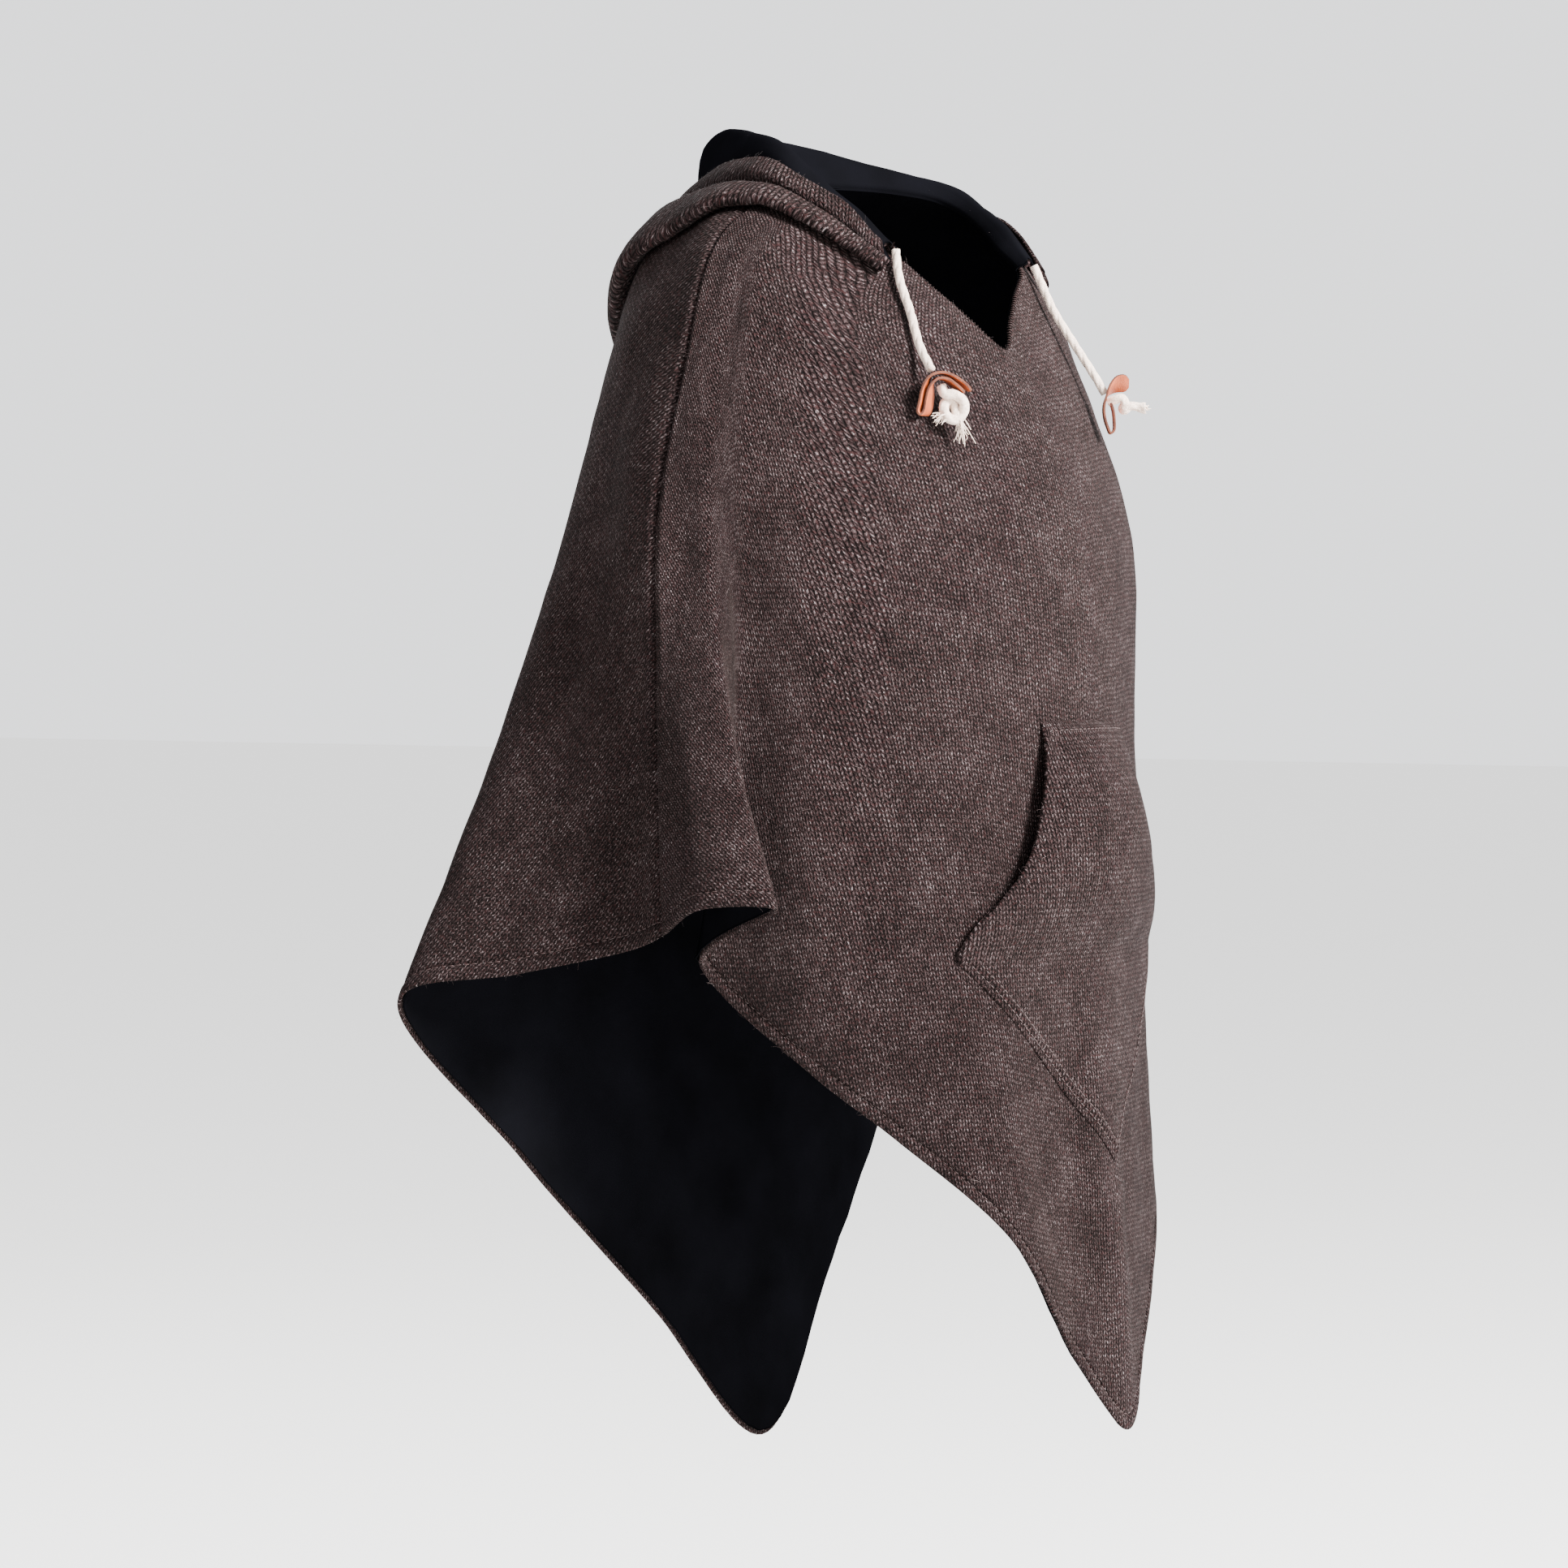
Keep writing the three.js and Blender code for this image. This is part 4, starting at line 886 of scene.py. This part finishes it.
# The V's edge is whipped over with thread, on both sides of the opening.
whipped = between(COLUMNS - FRONT_FLANK, FRONT_FLANK)
v_line = (body - body_normals * WOOL / 2)[0, whipped]
v_up = unit(body[0, whipped] - body[5, whipped])
made["v_whip"] = stitches("v_whip_stitches", v_line, v_up, 4.2, -1.2, 1.1, lean=1.6)

# The pocket is sewn down along its two lower edges with a double line, and its top with one.
POCKET_STITCH, POCKET_STITCH_GAP = 3.4, 1.4
low_rows = np.flatnonzero(below)[:-8]
face = pocket + pocket_normals * pocket_outer[..., None]
half_way = pocket.shape[1] // 2
for label, distance in (("inner", 8), ("outer", 4)):
    for side_name, way in (("right", -1), ("left", 1)):
        line, up = (np.array([read_along(from_side[r, :half_way] * SEWN_SLANT,
                                         grid[r, ::way][:half_way], distance) for r in low_rows])
                    for grid in (face, pocket_normals))
        made["pocket", label, side_name] = stitches(
            f"pocket_{label}_stitches_{side_name}", line, up, POCKET_STITCH, POCKET_STITCH_GAP)
line, up = (grid[4:-4] for grid in surface_line(skins["pocket"], list(EDGE_LINES).index(8)))
made["pocket", "top"] = stitches("pocket_top_stitches", line, up, POCKET_STITCH, POCKET_STITCH_GAP)


# ---- Cords, tabs and knots ----
RING_STEP, LOBE_DEPTH = 0.22, 0.2  # of the cord's radius


def swept_cord(path, radius, plies=3, twist=0.57, sides=24, taper=None):
    """A plied cord along a path: its section is lobed, and turns as it goes."""
    run = run_length(path)
    count = max(int(run[-1] / (radius * RING_STEP)), 8)
    at = np.linspace(0, run[-1], count)
    centre = read_along(run, path, at)
    ahead = unit(np.gradient(centre, axis=0))
    side = unit(np.cross(ahead[0], [0.3, 0.5, 0.8]))
    angle = np.linspace(0, 2 * math.pi, sides, endpoint=False)
    rings = []
    for p, d, s in zip(centre, ahead, at):
        side = unit(side - d * (side @ d))
        size = radius * (taper(s / run[-1]) if taper else 1)
        lobe = 1 - LOBE_DEPTH * (1 - abs(np.sin(plies / 2 * (angle - twist * s / radius)))) ** 2
        spokes = np.cos(angle)[:, None] * side + np.sin(angle)[:, None] * np.cross(d, side)
        rings.append(p + spokes * (size * lobe)[:, None])
    vertices = np.concatenate([*rings, centre[:1], centre[-1:]])
    faces = tube_quads(count, sides)
    first, last, base = count * sides, count * sides + 1, (count - 1) * sides
    for k in range(0, sides, 2):
        faces.append([first, (k + 2) % sides, k + 1, k])
        faces.append([last, base + k, base + k + 1, base + (k + 2) % sides])
    return vertices, faces


def toggle_axes(side):
    centre, turn = TOGGLES[side]
    turn = math.radians(turn)
    out = np.array([-math.sin(turn), -math.cos(turn), 0])
    up = np.array([0, 0, 1.0])
    return np.array(centre, float), np.cross(up, out), up, out


def placed(side, rows):
    """Points given across, up and out from a toggle's centre, in the part's frame."""
    centre, *axes = toggle_axes(side)
    return centre + np.asarray(rows, float) @ np.array(axes)


# Each knot's cord: across, up and out from the toggle's centre.
KNOT_PATHS = {
    "right": [(-7, 12, -1), (-5.5, 6.5, 1.5), (0.5, 6.2, 3), (6.5, 2.2, 2.5), (8, -4.5, 1.5),
              (4.2, -10.2, 1), (-2, -10.4, 1.4), (-5.4, -6, 1), (-4.6, 0.5, -1.5), (0.4, 2.2, -2.6),
              (2.8, -3, -1.8), (3.4, -9.5, 0.5)],
    "left": [(-1.5, 3, -1), (3, 5, 1), (7.5, 6, 1.6), (10, 2.5, 1), (8.5, -1.5, -1), (9.5, -2.6, 0),
             (13.5, 0.2, 0.5), (18, 0, 0), (22, -0.8, 0), (24.4, -1, 0)],
}
KNOT_RADIUS = {"right": 3.5, "left": 3.3}
# Each tuft of frayed strands: its root, the way it points and spreads in degrees, length, count.
FRAYS = {
    "right": [((-4.5, -7.5, 1.4), 203, 66, 10, 26), ((4, -9, 1), 290, 44, 15, 22)],
    "left": [((23.5, -0.5, 0), 0, 150, 3.2, 16)],
}


KNOT_SAMPLES, KNOT_SIDES, KNOT_FLARE = 160, 20, {"right": 0, "left": 0.3}
STRAND_RADIUS, STRAND_NARROWS, STRAND_SAG = 0.5, 0.55, 0.12


def knot(side):
    path = placed(side, spline(KNOT_PATHS[side], np.linspace(0, 1, KNOT_SAMPLES)))
    vertices, faces = swept_cord(path, KNOT_RADIUS[side], sides=KNOT_SIDES,
                                 taper=lambda t: 1 + KNOT_FLARE[side] * max(0, t - 0.86) / 0.14)
    parts, quads = [vertices], [np.array(faces)]
    total = len(vertices)
    _, across, up, out = toggle_axes(side)
    for root, direction, spread, length, count in FRAYS[side]:
        for _ in range(count):
            angle = math.radians(direction + spread * random.uniform(-0.5, 0.5))
            long = length * random.uniform(0.6, 1.15)
            start = placed(side, [np.array(root) + random.normal(0, 1.1, 3)])[0]
            way = across * math.cos(angle) + up * math.sin(angle) + out * random.normal(0, 0.25)
            wave = random.normal(0, 0.12, 3) * long
            t = np.linspace(0, 1, 12)[:, None]
            line = start + way * long * t + wave * np.sin(t * math.pi * random.uniform(0.8, 2.2))
            line[:, 2] -= (t[:, 0] ** 2) * long * STRAND_SAG
            strand, faces = swept_cord(line, STRAND_RADIUS, 2, 0.3, 6, lambda u: 1 - STRAND_NARROWS * u)
            parts.append(strand)
            quads.append(np.array(faces) + total)
            total += len(strand)
    piece = add_mesh(f"knot_{side}_cotton", np.concatenate(parts), np.concatenate(quads), COTTON_CORD)
    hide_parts(f"knot_{side}")
    return piece


# The leather strip of each toggle, folded round the knot: across, up, twist and lift in degrees.
TAB_RUNS = {
    "right": [(12.8, 8.8, 0, 0), (7, 13.7, 0, 0), (0, 18.2, 0, 0), (-6, 20.4, 0, 0), (-12, 20.2, 8, 0),
              (-16.6, 16.4, 24, 0), (-19, 8.5, 38, 0), (-20.6, 0.5, 38, 0), (-22, -5.5, 38, 0),
              (-20, -7.8, 38, 0), (-17.6, -5.5, 38, 0), (-16, 2, 38, 0), (-15, 9.5, 30, 0),
              (-13, 14.8, 12, 0), (-9.4, 17, 0, 0), (-4, 16.2, 0, 0), (2, 12, 0, 0), (8, 7.4, 0, 0)],
    "left": [(13, 16.6, 0, 62), (6.5, 16.6, 0, 58), (0.5, 13.6, 0, 36), (-3.4, 6.6, 0, 8), (-5, -1, 0, 0),
             (-4.4, -8, 0, 0), (-2.2, -15, 0, 0), (-0.2, -19, 0, 0), (2.2, -17, 0, 0), (2.4, -10, 0, 0),
             (1.6, -3, 0, 0), (0, 2.5, 0, 0)],
}


WORN_EDGE, TAB_CORNERS, TAB_ROUND = 0.25, 16, 0.8


def select_edge(mesh, ends):
    for face in mesh.polygons:
        face.select = False
    for vertex in mesh.vertices:
        vertex.select = vertex.index in ends
    for edge in mesh.edges:
        edge.select = set(edge.vertices) == set(ends)


def tab(side):
    """A leather strip: one short edge, pushed on step by step round the knot, then thickened."""
    centre, across, up, out = toggle_axes(side)
    marks = np.linspace(0, 1, 3 * len(TAB_RUNS[side]))
    run = spline(TAB_RUNS[side], marks)
    inward = np.clip(np.minimum(marks, 1 - marks) * TAB_CORNERS, 0, 1)
    half = TAB_WIDTH / 2 * np.sqrt(1 - (1 - inward) ** 2 * TAB_ROUND)

    def ends_at(i):
        twist, lift = np.radians(run[i, 2:])
        level = out * math.cos(twist) - across * math.sin(twist)
        width = level * math.cos(lift) + up * math.sin(lift)
        middle_point = centre + across * run[i, 0] + up * run[i, 1]
        return [middle_point - width * half[i], middle_point + width * half[i]]

    bpy.ops.object.select_all(action="DESELECT")
    bpy.ops.mesh.primitive_plane_add(size=TAB_WIDTH * MM)
    strip = bpy.context.object
    strip.name = strip.data.name = f"tab_{side}_leather"
    for vertex, place in zip(strip.data.vertices, [*ends_at(0), *ends_at(1)]):
        vertex.co = Vector(place * MM)
    front = (2, 3)
    for i in range(2, len(run)):
        select_edge(strip.data, front)
        bpy.ops.object.mode_set(mode="EDIT")
        bpy.ops.mesh.extrude_edges_move()
        bpy.ops.object.mode_set(mode="OBJECT")
        front = (len(strip.data.vertices) - 2, len(strip.data.vertices) - 1)
        old = strip.data.vertices[front[0]].co.copy()
        places = sorted((Vector(p * MM) for p in ends_at(i)), key=lambda p: (old - p).length)
        for k, place in zip(front, places):
            strip.data.vertices[k].co = place
    bpy.ops.object.mode_set(mode="EDIT")
    bpy.ops.mesh.select_all(action="SELECT")
    bpy.ops.mesh.normals_make_consistent(inside=False)
    bpy.ops.object.mode_set(mode="OBJECT")
    bpy.ops.object.shade_smooth()
    strip.data.materials.append(LEATHER_FACE)
    strip.data.materials.append(LEATHER_EDGE)
    wall = strip.modifiers.new("thickness", "SOLIDIFY")
    wall.thickness, wall.offset, wall.material_offset_rim = LEATHER * MM, 0, 1
    edge = strip.modifiers.new("worn_edge", "BEVEL")
    edge.width, edge.segments, edge.limit_method = WORN_EDGE * MM, 2, "ANGLE"
    for modifier in ("thickness", "worn_edge"):
        bpy.ops.object.modifier_apply(modifier=modifier)
    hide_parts(f"tab_{side}")
    return strip


for side, route in CORD_ROUTES.items():
    path = spline(route + CORD_TAILS[side], np.linspace(0, 1, 60))
    cord = add_mesh(f"cord_{side}_cotton", *swept_cord(path, CORD_DIAMETER / 2), COTTON_CORD)
    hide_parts(f"cord_{side}")
    made["cord", side], made["tab", side], made["knot", side] = cord, tab(side), knot(side)

# ---- Riding ----
for piece in made.values():
    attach(piece, "root")


# ---- Floor and light ----
FLOOR, FLOOR_SIZE = -1.42, 60  # metres: the ground below the shoulders
WORLD_COLOUR, WORLD_STRENGTH = "#f8f9fb", 1.95
LAMPS_AIM = (0, 0, -0.4)
LAMPS = {  # place, size and power
    "key": ((0.1, -3.7, 2.0), 1.4, 1800),
    "side": ((-3.2, -2.6, 2.4), 2.2, 15),
    "back": ((1.8, 3.2, 1.6), 2.4, 60),
}
bpy.ops.object.select_all(action="DESELECT")
bpy.ops.mesh.primitive_plane_add(size=FLOOR_SIZE, location=(0, 0, FLOOR))
floor = bpy.context.object
floor.name = "floor"
pale = Finish("pale_paper_floor", Roughness=0.9, Specular_IOR_Level=0.1)
pale.shader.inputs["Base Color"].default_value = linear("#f4f3f1")
floor.data.materials.append(pale.material)
world = bpy.data.worlds.new("studio")
bpy.context.scene.world = world
world.use_nodes = True
sky = world.node_tree.nodes["Background"].inputs
sky["Color"].default_value, sky["Strength"].default_value = linear(WORLD_COLOUR), WORLD_STRENGTH
for name, (place, size, power) in LAMPS.items():
    data = bpy.data.lights.new(name, "AREA")
    data.shape, data.size, data.energy = "SQUARE", size, power
    aimed(name, data, place, LAMPS_AIM)
